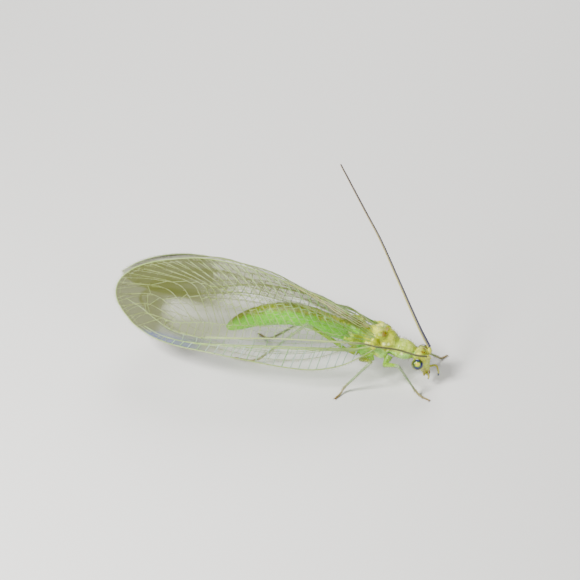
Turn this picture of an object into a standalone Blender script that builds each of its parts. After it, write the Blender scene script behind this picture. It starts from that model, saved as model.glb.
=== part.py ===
"""A green lacewing standing with its wings folded like a roof, life size, one object per body part.

The head points to +X, the left side to +Y, and the feet stand on z = 0. Sizes are in millimetres
and turn into Blender's metres where a mesh is made.
"""

import math

import bmesh
import bpy
from mathutils import Matrix, Vector

MM = 0.001
GAP = 0.2                       # clearance between neighbouring parts
CENTRE_SHIFT = (4.47, -0.53, 0.0)   # brings the middle of the space it fills over the origin
RIGHT, LEFT = -1, 1             # sides of the body, as signs of Y
SIDE_NAMES = {RIGHT: "right", LEFT: "left"}
BODY_SIDES = 20                 # faces round the head, thorax and abdomen
END_CAP = 0.05                  # depth of the rounding at the ends of a body part
LEG_BEVEL = 1                   # bevel_resolution of legs and feelers, six sides

# Body, along the middle plane: (x, z, half width, half height)
PROTHORAX = ((1.30, 1.76, 0.46, 0.47), (1.45, 1.76, 0.50, 0.50), (1.68, 1.73, 0.50, 0.50),
             (1.83, 1.69, 0.47, 0.48), (1.95, 1.65, 0.40, 0.42))
MESOTHORAX = ((0.10, 2.05, 0.62, 0.72), (0.40, 2.08, 0.68, 0.76), (0.75, 2.06, 0.67, 0.74),
              (0.98, 1.97, 0.58, 0.62), (1.12, 1.88, 0.46, 0.48))
METATHORAX = ((-0.80, 2.20, 0.38, 0.68), (-0.55, 2.14, 0.44, 0.73), (-0.28, 2.08, 0.50, 0.73),
              (-0.12, 2.05, 0.52, 0.70))
SCUTUM_LOBE = (0.62, 0.27, 2.50, 0.36, 0.30, 0.30)      # centre x, |y|, z and three radii
SCUTELLUM = (0.22, 0.0, 2.60, 0.22, 0.26, 0.22)
REAR_SCUTUM = (-0.42, 0.18, 2.60, 0.26, 0.22, 0.24)
FORE_SOCKET = (0.40, 0.57, 2.25, 0.26, 0.20, 0.30)      # swelling that carries the forewing

# Abdomen: an arched path (x, z), its half width and half height, front to tip
ABDOMEN_PATH = ((-1.10, 2.31), (-1.97, 2.50), (-2.91, 2.77), (-3.85, 2.84), (-4.79, 2.66),
                (-5.72, 2.32), (-6.50, 1.86), (-6.98, 1.52))
ABDOMEN_HALF_WIDTH = (0.34, 0.41, 0.44, 0.45, 0.44, 0.39, 0.31, 0.17)
ABDOMEN_HALF_HEIGHT = (0.57, 0.59, 0.59, 0.60, 0.57, 0.49, 0.37, 0.20)
ABDOMEN_CUTS = (0.0, 0.36, 0.68, 1.0)                  # where its three lengths part
ABDOMEN_GAP = 0.30
ABDOMEN_RINGS = 8                                      # rings in each length

# Head: rings from the crown down to the mouth, (x, z, half depth, half width)
HEAD_RINGS = ((2.40, 1.93, 0.10, 0.14), (2.41, 1.88, 0.22, 0.30), (2.44, 1.76, 0.33, 0.43),
              (2.48, 1.58, 0.39, 0.50), (2.50, 1.38, 0.40, 0.54), (2.53, 1.18, 0.38, 0.52),
              (2.59, 0.99, 0.32, 0.43), (2.66, 0.84, 0.25, 0.34), (2.70, 0.74, 0.19, 0.28))
EYE_CENTRE = (2.44, 0.62, 1.37)
EYE_RADII = (0.30, 0.26, 0.30)
EYE_GAP = 0.08
MOUTH_RINGS = ((2.73, 0.58, 0.14, 0.26), (2.75, 0.46, 0.15, 0.25), (2.77, 0.34, 0.11, 0.18),
               (2.78, 0.26, 0.05, 0.08))

# Feelers, from the base on the face to the tip
SCAPE_BASE = (3.07, 0.27, 1.58)
SCAPE_RADII = (0.15, 0.18, 0.18)
FLAGELLUM_RADII = (0.20, 0.19, 0.16, 0.11)            # at the ends of its three lengths
RAISED_FEELER = ((2.97, 0.37, 1.88), (2.30, 0.80, 2.72), (0.95, 1.75, 4.55), (-0.10, 2.50, 5.98),
                 (-1.05, 3.15, 7.15), (-2.45, 3.98, 9.02))
SWEPT_FEELER = ((2.88, -0.58, 1.88), (2.46, -0.84, 2.05), (2.01, -0.92, 2.19), (1.65, -1.02, 2.33),
                (1.21, -1.24, 2.51), (0.64, -1.60, 2.75), (-0.08, -1.77, 2.94))
SWEPT_ALONG_WING = ((1.7, 0.03), (3.2, -0.18), (4.8, -0.43), (6.4, -0.74), (7.9, -1.0))
FEELER_CLEARANCE = 0.64                                # from the wing's middle to the swept feeler's
FEELER_POINTS = 8                                      # points along each length of a feeler

# Palps: points out to the tip
PALP_RADII = (0.17, 0.16, 0.12)
PALPS = {LEFT: ((3.00, 0.36, 0.76), (3.15, 0.36, 0.80), (3.25, 0.33, 0.50), (3.26, 0.30, 0.24)),
         RIGHT: ((2.96, -0.38, 0.72), (3.04, -0.41, 0.66), (3.03, -0.42, 0.48), (2.98, -0.40, 0.32))}

# Wing planes: the right forewing faces outwards, forwards and up
WING_AZIMUTH = math.radians(14)
WING_ELEVATION = math.radians(34)
WING_PITCH = math.radians(11.7)                        # how far its length rises towards the tip
WING_ROOT = (0.47, -1.27, 2.31)
FORE_THICK = (0.40, 0.28)                              # membrane at the root and at the tip
HIND_THICK = (0.34, 0.26)
VEIN_RELIEF = 0.12                                     # how much thicker a wing is along a vein
ROOF_GAP_HALF = 0.34                                   # half the space between the folded wings
VEIN_HALF_WIDTH = 0.09
RIDGE_TUCK = 0.40                                      # how far the hind edges draw together by the root
ROOF_HOLLOW = 0.40                                     # how much flatter the roof is past mid-abdomen
ROOF_BULGE = 0.62
ROOF_STEEPER = -0.06
TIP_STEEPER = -0.24

# Forewing outline as (distance along, distance across) from the root
FORE_COSTA = ((0.0, 0.02), (0.67, -0.55), (1.36, -1.03), (2.39, -1.44), (3.47, -1.62),
              (5.14, -1.69), (7.92, -1.70), (9.27, -1.69), (10.37, -1.54), (11.37, -1.13), (11.9, -0.72))
FORE_HIND = ((0.0, 0.66), (0.36, 1.02), (1.27, 1.38), (2.47, 1.80), (4.27, 2.22), (5.97, 2.54),
             (7.57, 2.66), (9.02, 2.58), (10.67, 2.13), (11.4, 1.82), (11.9, 1.52))
FORE_TIP_BOW = 0.67
# Hind wing outline in the same directions, inside the forewing
HIND_COSTA = ((1.02, 0.05), (1.7, -0.45), (2.7, -0.95), (4.2, -1.35), (6.2, -1.45), (8.2, -1.38),
              (9.6, -1.08), (10.5, -0.62), (10.9, -0.28))
HIND_HIND = ((1.02, 0.60), (1.5, 0.78), (2.6, 1.12), (4.2, 1.42), (6.0, 1.72), (7.6, 1.80),
             (9.2, 1.55), (10.2, 1.12), (10.9, 0.72))
HIND_TIP_BOW = 0.42
HIND_INSET = (0.60, 0.62, 0.72)                        # how far inside the forewing: root, middle, tip

# Long veins as fractions of the way across, read at fractions of the way along
FORE_VEINS = (((0.0, 0.45), (0.12, 0.32), (0.28, 0.28), (0.53, 0.145), (0.72, 0.085), (1.0, 0.085)),
              ((0.0, 0.62), (0.12, 0.46), (0.30, 0.38), (0.53, 0.235), (0.74, 0.175), (1.0, 0.24)),
              ((0.0, 0.75), (0.15, 0.60), (0.40, 0.55), (0.70, 0.47), (1.0, 0.50)),
              ((0.0, 0.87), (0.15, 0.75), (0.40, 0.73), (0.70, 0.72), (1.0, 0.75)))
HIND_VEINS = (((0.0, 0.40), (0.3, 0.22), (0.6, 0.12), (1.0, 0.14)),
              ((0.0, 0.72), (0.3, 0.58), (0.6, 0.52), (1.0, 0.55)))
FORE_CROSSVEINS = 12
HIND_CROSSVEINS = 9
CROSSVEIN_LEAN = 0.38                                  # how far they lean to the tip, per millimetre across

# Legs: root on the body, trochanter, knee, ankle, toe tip
LEGS = {
    ("fore", RIGHT): ((1.24, -0.42, 1.20), (0.86, -0.76, 1.14), (1.76, -1.65, 1.86),
                      (2.45, -1.20, 0.30), (3.20, -1.50, 0.12)),
    ("fore", LEFT): ((1.22, 0.42, 1.24), (1.02, 0.66, 0.98), (1.74, 1.12, 1.42),
                     (2.86, 1.76, 0.30), (3.22, 2.30, 0.12)),
    ("mid", RIGHT): ((0.22, -0.44, 1.15), (-0.32, -0.70, 1.22), (0.42, -1.62, 1.84),
                     (-0.84, -1.78, 0.30), (-1.11, -2.43, 0.12)),
    ("mid", LEFT): ((0.22, 0.44, 1.15), (-0.22, 0.72, 1.02), (0.34, 1.52, 1.66),
                    (-0.86, 1.80, 0.30), (-1.16, 2.44, 0.12)),
    ("hind", RIGHT): ((-0.60, -0.40, 1.22), (-1.02, -0.58, 1.56), (-2.96, -0.71, 2.85),
                      (-5.30, -0.50, 0.30), (-6.50, -0.30, 0.12)),
    ("hind", LEFT): ((-0.60, 0.40, 1.22), (-1.04, 0.66, 1.16), (-2.95, 0.90, 2.35),
                     (-5.10, 1.40, 0.30), (-5.95, 1.95, 0.12)),
}
COXA_RADII = (0.27, 0.21)
FEMUR_RADII = (0.18, 0.20, 0.17)
TIBIA_RADII = (0.17, 0.19, 0.16)
TARSUS_RADII = (0.15, 0.15, 0.14, 0.11)
FOOT_PATH = ((0.30, 0.17), (0.60, 0.11), (1.0, 0.08))  # (fraction of the way to the toe, height)

GREEN = (0.30, 0.62, 0.10)
YELLOW_GREEN = (0.55, 0.62, 0.16)
PALE_YELLOW = (0.74, 0.72, 0.30)


def material(name, colour, roughness=0.45, alpha=1.0):
    """A Principled material with the part's own colour."""
    made = bpy.data.materials.new(name)
    made.use_nodes = True
    shader = made.node_tree.nodes["Principled BSDF"]
    shader.inputs["Base Color"].default_value = (*colour, 1.0)
    shader.inputs["Roughness"].default_value = roughness
    shader.inputs["Metallic"].default_value = 0.0
    shader.inputs["Alpha"].default_value = alpha
    return made


def add_mesh(name, bm, colour, roughness=0.45, alpha=1.0):
    """A named object from a bmesh in millimetres."""
    bmesh.ops.scale(bm, vec=(MM, MM, MM), verts=bm.verts)
    bmesh.ops.recalc_face_normals(bm, faces=bm.faces)
    mesh = bpy.data.meshes.new(name)
    bm.to_mesh(mesh)
    bm.free()
    mesh.shade_smooth()
    mesh.set_sharp_from_angle(angle=math.radians(50))
    mesh.materials.append(material(name, colour, roughness, alpha))
    obj = bpy.data.objects.new(name, mesh)
    PARTS.objects.link(obj)
    return obj


def smooth_step(value, start, end):
    """0 before start, 1 after end, with a soft turn between."""
    t = min(max((value - start) / (end - start), 0.0), 1.0)
    return t * t * (3 - 2 * t)


def along(points, t):
    """The point at fraction t of a smooth curve through the points, spaced evenly by index."""
    last = len(points) - 1
    place = min(max(t, 0.0), 1.0) * last
    i = min(int(place), last - 1)
    u = place - i
    p1, p2 = Vector(points[i]), Vector(points[i + 1])
    p0 = Vector(points[i - 1]) if i > 0 else p1 * 2 - p2
    p3 = Vector(points[i + 2]) if i + 2 <= last else p2 * 2 - p1
    return 0.5 * (2 * p1 + (p2 - p0) * u + (2 * p0 - 5 * p1 + 4 * p2 - p3) * u * u
                  + (3 * p1 - p0 - 3 * p2 + p3) * u ** 3)


def evenly(points, count):
    """The smooth curve through the points as count points at even distances."""
    fine = [along(points, i / 240) for i in range(241)]
    run = [0.0]
    for one, other in zip(fine, fine[1:]):
        run.append(run[-1] + (other - one).length)
    spread = []
    k = 0
    for i in range(count):
        want = run[-1] * i / (count - 1)
        while k < 239 and run[k + 1] < want:
            k += 1
        spread.append(fine[k].lerp(fine[k + 1], min((want - run[k]) / (run[k + 1] - run[k]), 1.0)))
    return spread


def height_at(points, x):
    """The smooth curve through (x, value) points, read at x."""
    i = 0
    while i < len(points) - 2 and x > points[i + 1][0]:
        i += 1

    def slope(k):
        a, b = points[max(k - 1, 0)], points[min(k + 1, len(points) - 1)]
        return (b[1] - a[1]) / (b[0] - a[0])

    (x0, y0), (x1, y1) = points[i], points[i + 1]
    width = x1 - x0
    u = min(max((x - x0) / width, 0.0), 1.0)
    return (y0 * (1 + 2 * u) * (1 - u) ** 2 + slope(i) * width * u * (1 - u) ** 2
            + y1 * u * u * (3 - 2 * u) - slope(i + 1) * width * u * u * (1 - u))


def loft(bm, rings, sides=BODY_SIDES, upright=(0, 0, 1)):
    """Bridges ellipses into a closed body: each ring is (centre, direction, half width, half height)."""
    loops = []
    for centre, direction, half_width, half_height in rings:
        forward = Vector(direction).normalized()
        side = Vector(upright).cross(forward).normalized()
        up = forward.cross(side)
        turn = Matrix((side * half_width, up * half_height, forward)).transposed().to_4x4()
        turn.translation = centre
        is_end = len(loops) in (0, len(rings) - 1)
        made = bmesh.ops.create_circle(bm, cap_ends=is_end, segments=sides, radius=1, matrix=turn)
        loops.append({e for v in made["verts"] for e in v.link_edges})
    for one, other in zip(loops, loops[1:]):
        bmesh.ops.bridge_loops(bm, edges=[*one, *other])
    bmesh.ops.triangulate(bm, faces=[f for f in bm.faces if len(f.verts) > 4])


def body_loft(stations, rounding=0.62, level=True):
    """A closed body along the middle plane, with a small ring at each end that rounds it off."""
    bm = bmesh.new()
    rings = []
    last = len(stations) - 1
    for i, (x, z, half_width, half_height) in enumerate(stations):
        before, after = stations[max(i - 1, 0)], stations[min(i + 1, last)]
        direction = (1, 0, 0) if level else (after[0] - before[0], 0, after[1] - before[1])
        rings.append((Vector((x, 0, z)), direction, half_width, half_height))
    first, final = rings[0], rings[-1]
    outwards = 1 if final[0].x > first[0].x or not level else -1
    lead = Vector(first[1]).normalized() * -END_CAP * outwards
    tail = Vector(final[1]).normalized() * END_CAP * outwards
    rings.insert(0, (first[0] + lead, first[1], first[2] * rounding, first[3] * rounding))
    rings.append((final[0] + tail, final[1], final[2] * rounding, final[3] * rounding))
    loft(bm, rings)
    return bm


def ellipsoid(centre, radii, tilt=0.0, segments=16, rings=10):
    """A closed ellipsoid, tilted about Y."""
    bm = bmesh.new()
    turn = Matrix.Translation(centre) @ Matrix.Rotation(tilt, 4, "Y") @ Matrix.Diagonal((*radii, 1.0))
    bmesh.ops.create_uvsphere(bm, u_segments=segments, v_segments=rings, radius=1, matrix=turn)
    return bm


def helper(bm, group):
    """A mesh object in millimetres turned to metres, put in a collection that a Boolean reads."""
    bmesh.ops.scale(bm, vec=(MM, MM, MM), verts=bm.verts)
    bmesh.ops.recalc_face_normals(bm, faces=bm.faces)
    mesh = bpy.data.meshes.new("helper")
    bm.to_mesh(mesh)
    bm.free()
    obj = bpy.data.objects.new("helper", mesh)
    group.objects.link(obj)
    return obj


def combine(obj, pieces, operation):
    """Joins pieces to an object, or cuts them out of it, then removes them and keeps the largest body."""
    group = bpy.data.collections.new("pieces")
    bpy.context.scene.collection.children.link(group)
    for bm in pieces:
        helper(bm, group)
    change = obj.modifiers.new("combine", "BOOLEAN")
    change.operation = operation
    change.solver = "EXACT"
    change.operand_type = "COLLECTION"
    change.collection = group
    seen = bpy.context.evaluated_depsgraph_get()
    mesh = bpy.data.meshes.new_from_object(obj.evaluated_get(seen))
    obj.modifiers.remove(change)
    for extra in list(group.objects):
        bpy.data.objects.remove(extra)
    bpy.data.collections.remove(group)
    bm = bmesh.new()
    bm.from_mesh(mesh)
    keep_largest(bm)
    bmesh.ops.triangulate(bm, faces=bm.faces)
    bmesh.ops.dissolve_degenerate(bm, dist=0.002 * MM, edges=bm.edges)
    bmesh.ops.triangulate(bm, faces=bm.faces)
    bm.to_mesh(obj.data)
    bm.free()


def keep_largest(bm):
    """Deletes all but the largest connected surface."""
    left = set(bm.verts)
    shells = []
    while left:
        stack = [left.pop()]
        shell = []
        while stack:
            v = stack.pop()
            shell.append(v)
            for e in v.link_edges:
                other = e.other_vert(v)
                if other in left:
                    left.remove(other)
                    stack.append(other)
        shells.append(shell)
    shells.sort(key=len)
    for shell in shells[:-1]:
        bmesh.ops.delete(bm, geom=shell, context="VERTS")


def tube(name, points, radii, colour, bevel=LEG_BEVEL, start_gap=0.0, end_gap=0.0, count=None):
    """A tapered tube along a smooth curve through the points, shortened by a gap at either end."""
    count = count or len(points)
    ends = [Vector(p) for p in points]
    ends[0] = ends[0] + (ends[1] - ends[0]).normalized() * start_gap
    ends[-1] = ends[-1] + (ends[-2] - ends[-1]).normalized() * end_gap
    path = [along(ends, i / (count - 1)) for i in range(count)]
    curve = bpy.data.curves.new(name, "CURVE")
    curve.dimensions = "3D"
    curve.bevel_depth = MM
    curve.bevel_resolution = bevel
    curve.use_fill_caps = True
    line = curve.splines.new("POLY")
    line.points.add(count - 1)
    for i, place in enumerate(path):
        line.points[i].co = (*(place * MM), 1.0)
        line.points[i].radius = along([(r, 0, 0) for r in radii], i / (count - 1)).x
    curve.materials.append(material(name, colour, roughness=0.4))
    obj = bpy.data.objects.new(name, curve)
    PARTS.objects.link(obj)
    return obj


def prothorax():
    add_mesh("prothorax", body_loft(PROTHORAX), YELLOW_GREEN)


def mesothorax():
    """The front wing-bearing ring of the thorax, with its two lobes and the scutellum between them."""
    obj = add_mesh("mesothorax", body_loft(MESOTHORAX), YELLOW_GREEN)
    x, y, z, *radii = SCUTUM_LOBE
    lobes = [ellipsoid((x, side * y, z), radii) for side in (RIGHT, LEFT)]
    x, y, z, *radii = FORE_SOCKET
    lobes += [ellipsoid((x, side * y, z), radii) for side in (RIGHT, LEFT)]
    combine(obj, [*lobes, ellipsoid(SCUTELLUM[:3], SCUTELLUM[3:])], "UNION")


def metathorax():
    """The rear ring of the thorax with its two lobes."""
    obj = add_mesh("metathorax", body_loft(METATHORAX), YELLOW_GREEN)
    x, y, z, *radii = REAR_SCUTUM
    combine(obj, [ellipsoid((x, side * y, z), radii) for side in (RIGHT, LEFT)], "UNION")


def abdomen():
    """Three lengths along the arched path, parted by a gap."""
    length = sum((Vector(b) - Vector(a)).length for a, b in zip(ABDOMEN_PATH, ABDOMEN_PATH[1:]))
    gap = ABDOMEN_GAP / length
    widths = [(w, 0, 0) for w in ABDOMEN_HALF_WIDTH]
    heights = [(h, 0, 0) for h in ABDOMEN_HALF_HEIGHT]
    names = ("abdomen_front", "abdomen_middle", "abdomen_rear")
    for name, start, end in zip(names, ABDOMEN_CUTS, ABDOMEN_CUTS[1:]):
        start = start + gap / 2 if start > 0 else start
        end = end - gap / 2 if end < 1 else end
        stations = []
        for i in range(ABDOMEN_RINGS):
            t = start + (end - start) * i / (ABDOMEN_RINGS - 1)
            place = along([(x, 0, z) for x, z in ABDOMEN_PATH], t)
            stations.append((place.x, place.z, along(widths, t).x, along(heights, t).x))
        add_mesh(name, body_loft(stations, rounding=0.8, level=False), GREEN)


def upright_loft(rings, sides):
    """A closed body of level rings from top to bottom, each (x, z, half depth, half width)."""
    bm = bmesh.new()
    loops = []
    for x, z, half_depth, half_width in rings:
        turn = Matrix.Translation((x, 0, z)) @ Matrix.Diagonal((half_depth, half_width, 1.0, 1.0))
        is_end = len(loops) in (0, len(rings) - 1)
        made = bmesh.ops.create_circle(bm, cap_ends=is_end, segments=sides, radius=1, matrix=turn)
        loops.append({e for v in made["verts"] for e in v.link_edges})
    for one, other in zip(loops, loops[1:]):
        bmesh.ops.bridge_loops(bm, edges=[*one, *other])
    bmesh.ops.triangulate(bm, faces=[f for f in bm.faces if len(f.verts) > 4])
    return bm


def head():
    """The head capsule, hollowed at the sides for the eyes."""
    obj = add_mesh("head", upright_loft(HEAD_RINGS, 22), PALE_YELLOW)
    x, y, z = EYE_CENTRE
    hollow = [r + EYE_GAP for r in EYE_RADII]
    combine(obj, [ellipsoid((x, side * y, z), hollow) for side in (RIGHT, LEFT)], "DIFFERENCE")


def eyes():
    """Two domed eyes set into the sides of the head."""
    x, y, z = EYE_CENTRE
    for side in (RIGHT, LEFT):
        bm = ellipsoid((x, side * y, z), EYE_RADII, segments=20, rings=12)
        add_mesh("eye_" + SIDE_NAMES[side], bm, (0.35, 0.38, 0.12), roughness=0.15)


def mouthparts():
    """The lip and jaws as one wedge below the face."""
    add_mesh("mouthparts", upright_loft(MOUTH_RINGS, 12), PALE_YELLOW)


def bent_rod(path, radii, sides=8, upright=(0, 0, 1)):
    """A closed tapered rod of round rings along a path, split into triangles."""
    last = len(path) - 1
    rings = []
    for i, place in enumerate(path):
        direction = path[min(i + 1, last)] - path[max(i - 1, 0)]
        radius = along([(r, 0, 0) for r in radii], i / last).x
        rings.append((place, direction, radius, radius))
    bm = bmesh.new()
    loft(bm, rings, sides, upright)
    bmesh.ops.triangulate(bm, faces=bm.faces)
    return bm


def palps():
    """The two jointed mouth feelers that hang in front of the face."""
    for side, points in PALPS.items():
        bm = bent_rod(evenly(points, 8), PALP_RADII, upright=(0, 1, 0))
        add_mesh("palp_" + SIDE_NAMES[side], bm, PALE_YELLOW)


def wing_axes():
    """Along, across and outward directions of the right forewing."""
    right = Vector((math.cos(WING_AZIMUTH), math.sin(WING_AZIMUTH), 0.0))
    out = Vector((math.sin(WING_AZIMUTH) * math.cos(WING_ELEVATION),
                  -math.cos(WING_AZIMUTH) * math.cos(WING_ELEVATION), math.sin(WING_ELEVATION)))
    up = out.cross(right)
    along_wing = up * math.sin(WING_PITCH) - right * math.cos(WING_PITCH)
    across = up * math.cos(WING_PITCH) + right * math.sin(WING_PITCH)
    return along_wing, across, out


def ridge_line(s):
    """Where the two folded wings meet over the back, as a distance across at distance s along."""
    if s < 7.9:
        return 2.66 - 0.0448 * (7.9 - s) ** 1.773
    return 2.66 - 0.0639 * (s - 7.9) ** 2.076


def wing_point(s, c, inset=0.0):
    """A point of the right wing roof, at distance s along and c across, lying inset below its middle."""
    along_wing, across, out = wing_axes()
    flat = Vector(WING_ROOT) + along_wing * s + across * c
    top = WING_ROOT[1] + along_wing.y * s + across.y * ridge_line(s)
    lift = (top + ROOF_GAP_HALF) / -out.y
    steeper = ROOF_STEEPER + TIP_STEEPER * smooth_step(s, 6.0, 12.0)
    lift += steeper * (ridge_line(s) - c)
    lift *= smooth_step(s, 0.0, 1.5)
    lift -= (RIDGE_TUCK * smooth_step(s, 1.2, 2.6) * (1 - smooth_step(s, 3.0, 6.0))
             * smooth_step(c, ridge_line(s) - 1.7, ridge_line(s)))
    lift -= (ROOF_HOLLOW * smooth_step(s, 3.3, 5.2) * (1 - smooth_step(s, 5.6, 8.8))
             * smooth_step(c, -1.1, 0.2) * (1 - smooth_step(c, ridge_line(s) - 1.6, ridge_line(s) - 0.1)))
    bulge = ROOF_BULGE * (1 - ((c - 0.45) / 2.15) ** 2)
    bulge *= smooth_step(s, 0.0, 1.8) * (1 - 0.8 * smooth_step(s, 8.0, 12.5))
    return flat + out * (lift + bulge - inset)


def vein_rows(veins, a, width):
    """Fractions across for the rows of a wing at fraction a along, each with its weight as a vein."""
    half = VEIN_HALF_WIDTH / width
    rows = [(0.0, 1.0), (2 * half, 0.0)]
    for vein in veins:
        middle = height_at(vein, a)
        rows += [(middle - half, 0.0), (middle, 1.0), (middle + half, 0.0)]
    rows += [(1 - 2 * half, 0.0), (1.0, 1.0)]
    for i in range(1, len(rows)):
        low = rows[i - 1][0] + 0.2 * half
        rows[i] = (max(rows[i][0], low), rows[i][1])
    return [(t / rows[-1][0], weight) for t, weight in rows]


def vein_columns(count, length):
    """Fractions along for the columns of a wing sheet, with each column's weight as a crossvein."""
    half = VEIN_HALF_WIDTH / length
    columns = [(0.0, 0.0)]
    for k in range(count):
        middle = (k + 0.8) / (count + 0.6)
        columns += [(middle - half, 0.0), (middle, 1.0), (middle + half, 0.0)]
    return columns + [(1 - 2 * half, 0.0), (1.0, 1.0)]


def wing(name, side, costa, hind, veins, crossveins, tip_bow, inset, thick):
    """One wing: an open sheet bent over the roof, thicker along its veins, with both faces alike."""
    start, end = costa[0][0], costa[-1][0]
    columns = vein_columns(crossveins, end - start)
    row_count = len(vein_rows(veins, 0.5, 4.0))
    bm = bmesh.new()
    bmesh.ops.create_grid(bm, x_segments=len(columns) - 1, y_segments=row_count - 1, size=0.5)
    thickest = thick[0] + VEIN_RELIEF
    weights = {}
    for v in bm.verts:
        a, column_weight = columns[round((v.co.x + 0.5) * (len(columns) - 1))]
        s = start + (end - start) * a
        width = height_at(hind, s) - height_at(costa, s)
        t, row_weight = vein_rows(veins, a, width)[round((v.co.y + 0.5) * (row_count - 1))]
        lean = CROSSVEIN_LEAN * abs(t - height_at(veins[0], a)) * width
        s += lean * smooth_step(a, 0.0, 0.3) * (1 - smooth_step(a, 0.7, 1.0))
        low, high = height_at(costa, s), height_at(hind, s)
        s += tip_bow * a ** 6 * 4 * t * (1 - t)
        deep = inset[0] + (inset[1] - inset[0]) * smooth_step(a, 0.0, 0.2)
        deep += (inset[2] - inset[1]) * smooth_step(a, 0.6, 1.0)
        place = wing_point(s, low + (high - low) * t, deep)
        v.co = (place.x, place.y * -side, place.z)
        local = thick[0] + (thick[1] - thick[0]) * smooth_step(a, 0.3, 1.0)
        weights[v.index] = (local + VEIN_RELIEF * max(column_weight, row_weight)) / thickest
    bmesh.ops.triangulate(bm, faces=bm.faces)
    obj = add_mesh(name, bm, (0.62, 0.68, 0.50), roughness=0.2, alpha=0.5)
    raised = obj.vertex_groups.new(name="veins")
    for index, weight in weights.items():
        raised.add([index], weight, "REPLACE")
    sheet = obj.modifiers.new("thickness", "SOLIDIFY")
    sheet.thickness = thickest * MM
    sheet.offset = 0.0
    sheet.vertex_group = raised.name
    return obj


def wings():
    for side in (RIGHT, LEFT):
        name = SIDE_NAMES[side]
        wing("forewing_" + name, side, FORE_COSTA, FORE_HIND, FORE_VEINS, FORE_CROSSVEINS,
             FORE_TIP_BOW, (0.0, 0.0, 0.0), FORE_THICK)
        wing("hindwing_" + name, side, HIND_COSTA, HIND_HIND, HIND_VEINS, HIND_CROSSVEINS,
             HIND_TIP_BOW, HIND_INSET, HIND_THICK)


def feelers():
    """Each feeler's thick base joint and its thread in three lengths: left raised, right swept back."""
    for side in (RIGHT, LEFT):
        name = "antenna_" + SIDE_NAMES[side]
        base = Vector((SCAPE_BASE[0], side * SCAPE_BASE[1], SCAPE_BASE[2]))
        if side == LEFT:
            points = [Vector(p) for p in RAISED_FEELER]
        else:
            points = [Vector(p) for p in SWEPT_FEELER]
            points += [wing_point(s, c, -FEELER_CLEARANCE) for s, c in SWEPT_ALONG_WING]
        tube(name + "_scape", [base, base.lerp(points[0], 0.5), points[0]], SCAPE_RADII, PALE_YELLOW,
             end_gap=GAP / 2)
        thread = evenly(points, 3 * (FEELER_POINTS - 1) + 1)
        for i in range(3):
            first = i * (FEELER_POINTS - 1)
            tube(f"{name}_thread_{i + 1}", thread[first:first + FEELER_POINTS], FLAGELLUM_RADII[i:i + 2],
                 YELLOW_GREEN, start_gap=GAP / 2, end_gap=GAP / 2 if i < 2 else 0.0)


def flat_foot(name, ankle, toe):
    """The foot: a tapered tube that comes down to the floor and lies along it, cut off flat at z = 0."""
    points = [ankle]
    for t, z in FOOT_PATH:
        place = ankle.lerp(toe, t)
        points.append(Vector((place.x, place.y, z)))
    bm = bent_rod(evenly(points, 8), TARSUS_RADII)
    cut = bmesh.ops.bisect_plane(bm, geom=[*bm.verts, *bm.edges, *bm.faces], dist=1e-4,
                                 plane_co=(0, 0, 0), plane_no=(0, 0, -1), clear_outer=True)
    edges = [e for e in cut["geom_cut"] if isinstance(e, bmesh.types.BMEdge)]
    bmesh.ops.holes_fill(bm, edges=edges)
    bmesh.ops.triangulate(bm, faces=bm.faces)
    add_mesh(name, bm, YELLOW_GREEN)


def legs():
    """Six legs, each a coxa, femur, tibia and tarsus that follow one another with a gap."""
    for (pair, side), points in LEGS.items():
        root, hip, knee, ankle, toe = (Vector(p) for p in points)
        name = f"{pair}leg_{SIDE_NAMES[side]}_"
        tube(name + "coxa", [root, root.lerp(hip, 0.5), hip], COXA_RADII, GREEN, bevel=2)
        tube(name + "femur", [hip, knee], FEMUR_RADII, GREEN, start_gap=0.42, end_gap=0.10, count=5)
        tube(name + "tibia", [knee, ankle], TIBIA_RADII, GREEN, start_gap=0.50, end_gap=0.14, count=5)
        flat_foot(name + "tarsus", ankle + (toe - ankle) * 0.12, toe)


for old in list(bpy.data.objects):
    bpy.data.objects.remove(old)
PARTS = bpy.data.collections.new("green_lacewing")
bpy.context.scene.collection.children.link(PARTS)

prothorax()
mesothorax()
metathorax()
abdomen()
head()
eyes()
mouthparts()
palps()
feelers()
wings()
legs()
for part in PARTS.objects:
    part.location = Vector(CENTRE_SHIFT) * MM
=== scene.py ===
"""Green lacewing, life size: skin, eyes, veined wings, feelers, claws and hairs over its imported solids.

Run in Blender 4.5. Shapes are worked out in millimetres in the insect's own frame, with the head to +X,
the left side to +Y and the feet on z = 0, and turned into metres where a mesh is finished.
"""

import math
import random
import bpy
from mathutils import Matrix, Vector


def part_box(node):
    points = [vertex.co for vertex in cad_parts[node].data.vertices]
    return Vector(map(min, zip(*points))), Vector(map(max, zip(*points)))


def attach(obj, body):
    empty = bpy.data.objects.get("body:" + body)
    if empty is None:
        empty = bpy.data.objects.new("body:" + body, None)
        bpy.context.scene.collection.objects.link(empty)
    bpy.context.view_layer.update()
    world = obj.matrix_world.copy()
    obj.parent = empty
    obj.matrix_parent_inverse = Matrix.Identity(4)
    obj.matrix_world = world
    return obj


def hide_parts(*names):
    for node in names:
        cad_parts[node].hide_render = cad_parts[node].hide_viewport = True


bl_info = {
    "name": "Green Lacewing",
    "version": (1, 0, 0),
    "blender": (4, 5, 0),
    "location": "View3D > Sidebar > Lacewing",
    "description": "Models the skin, eyes, wings, feelers, claws and hairs of a green lacewing",
    "category": "Object",
}

import bmesh
import bpy
from mathutils import Matrix, Vector, kdtree, noise

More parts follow.
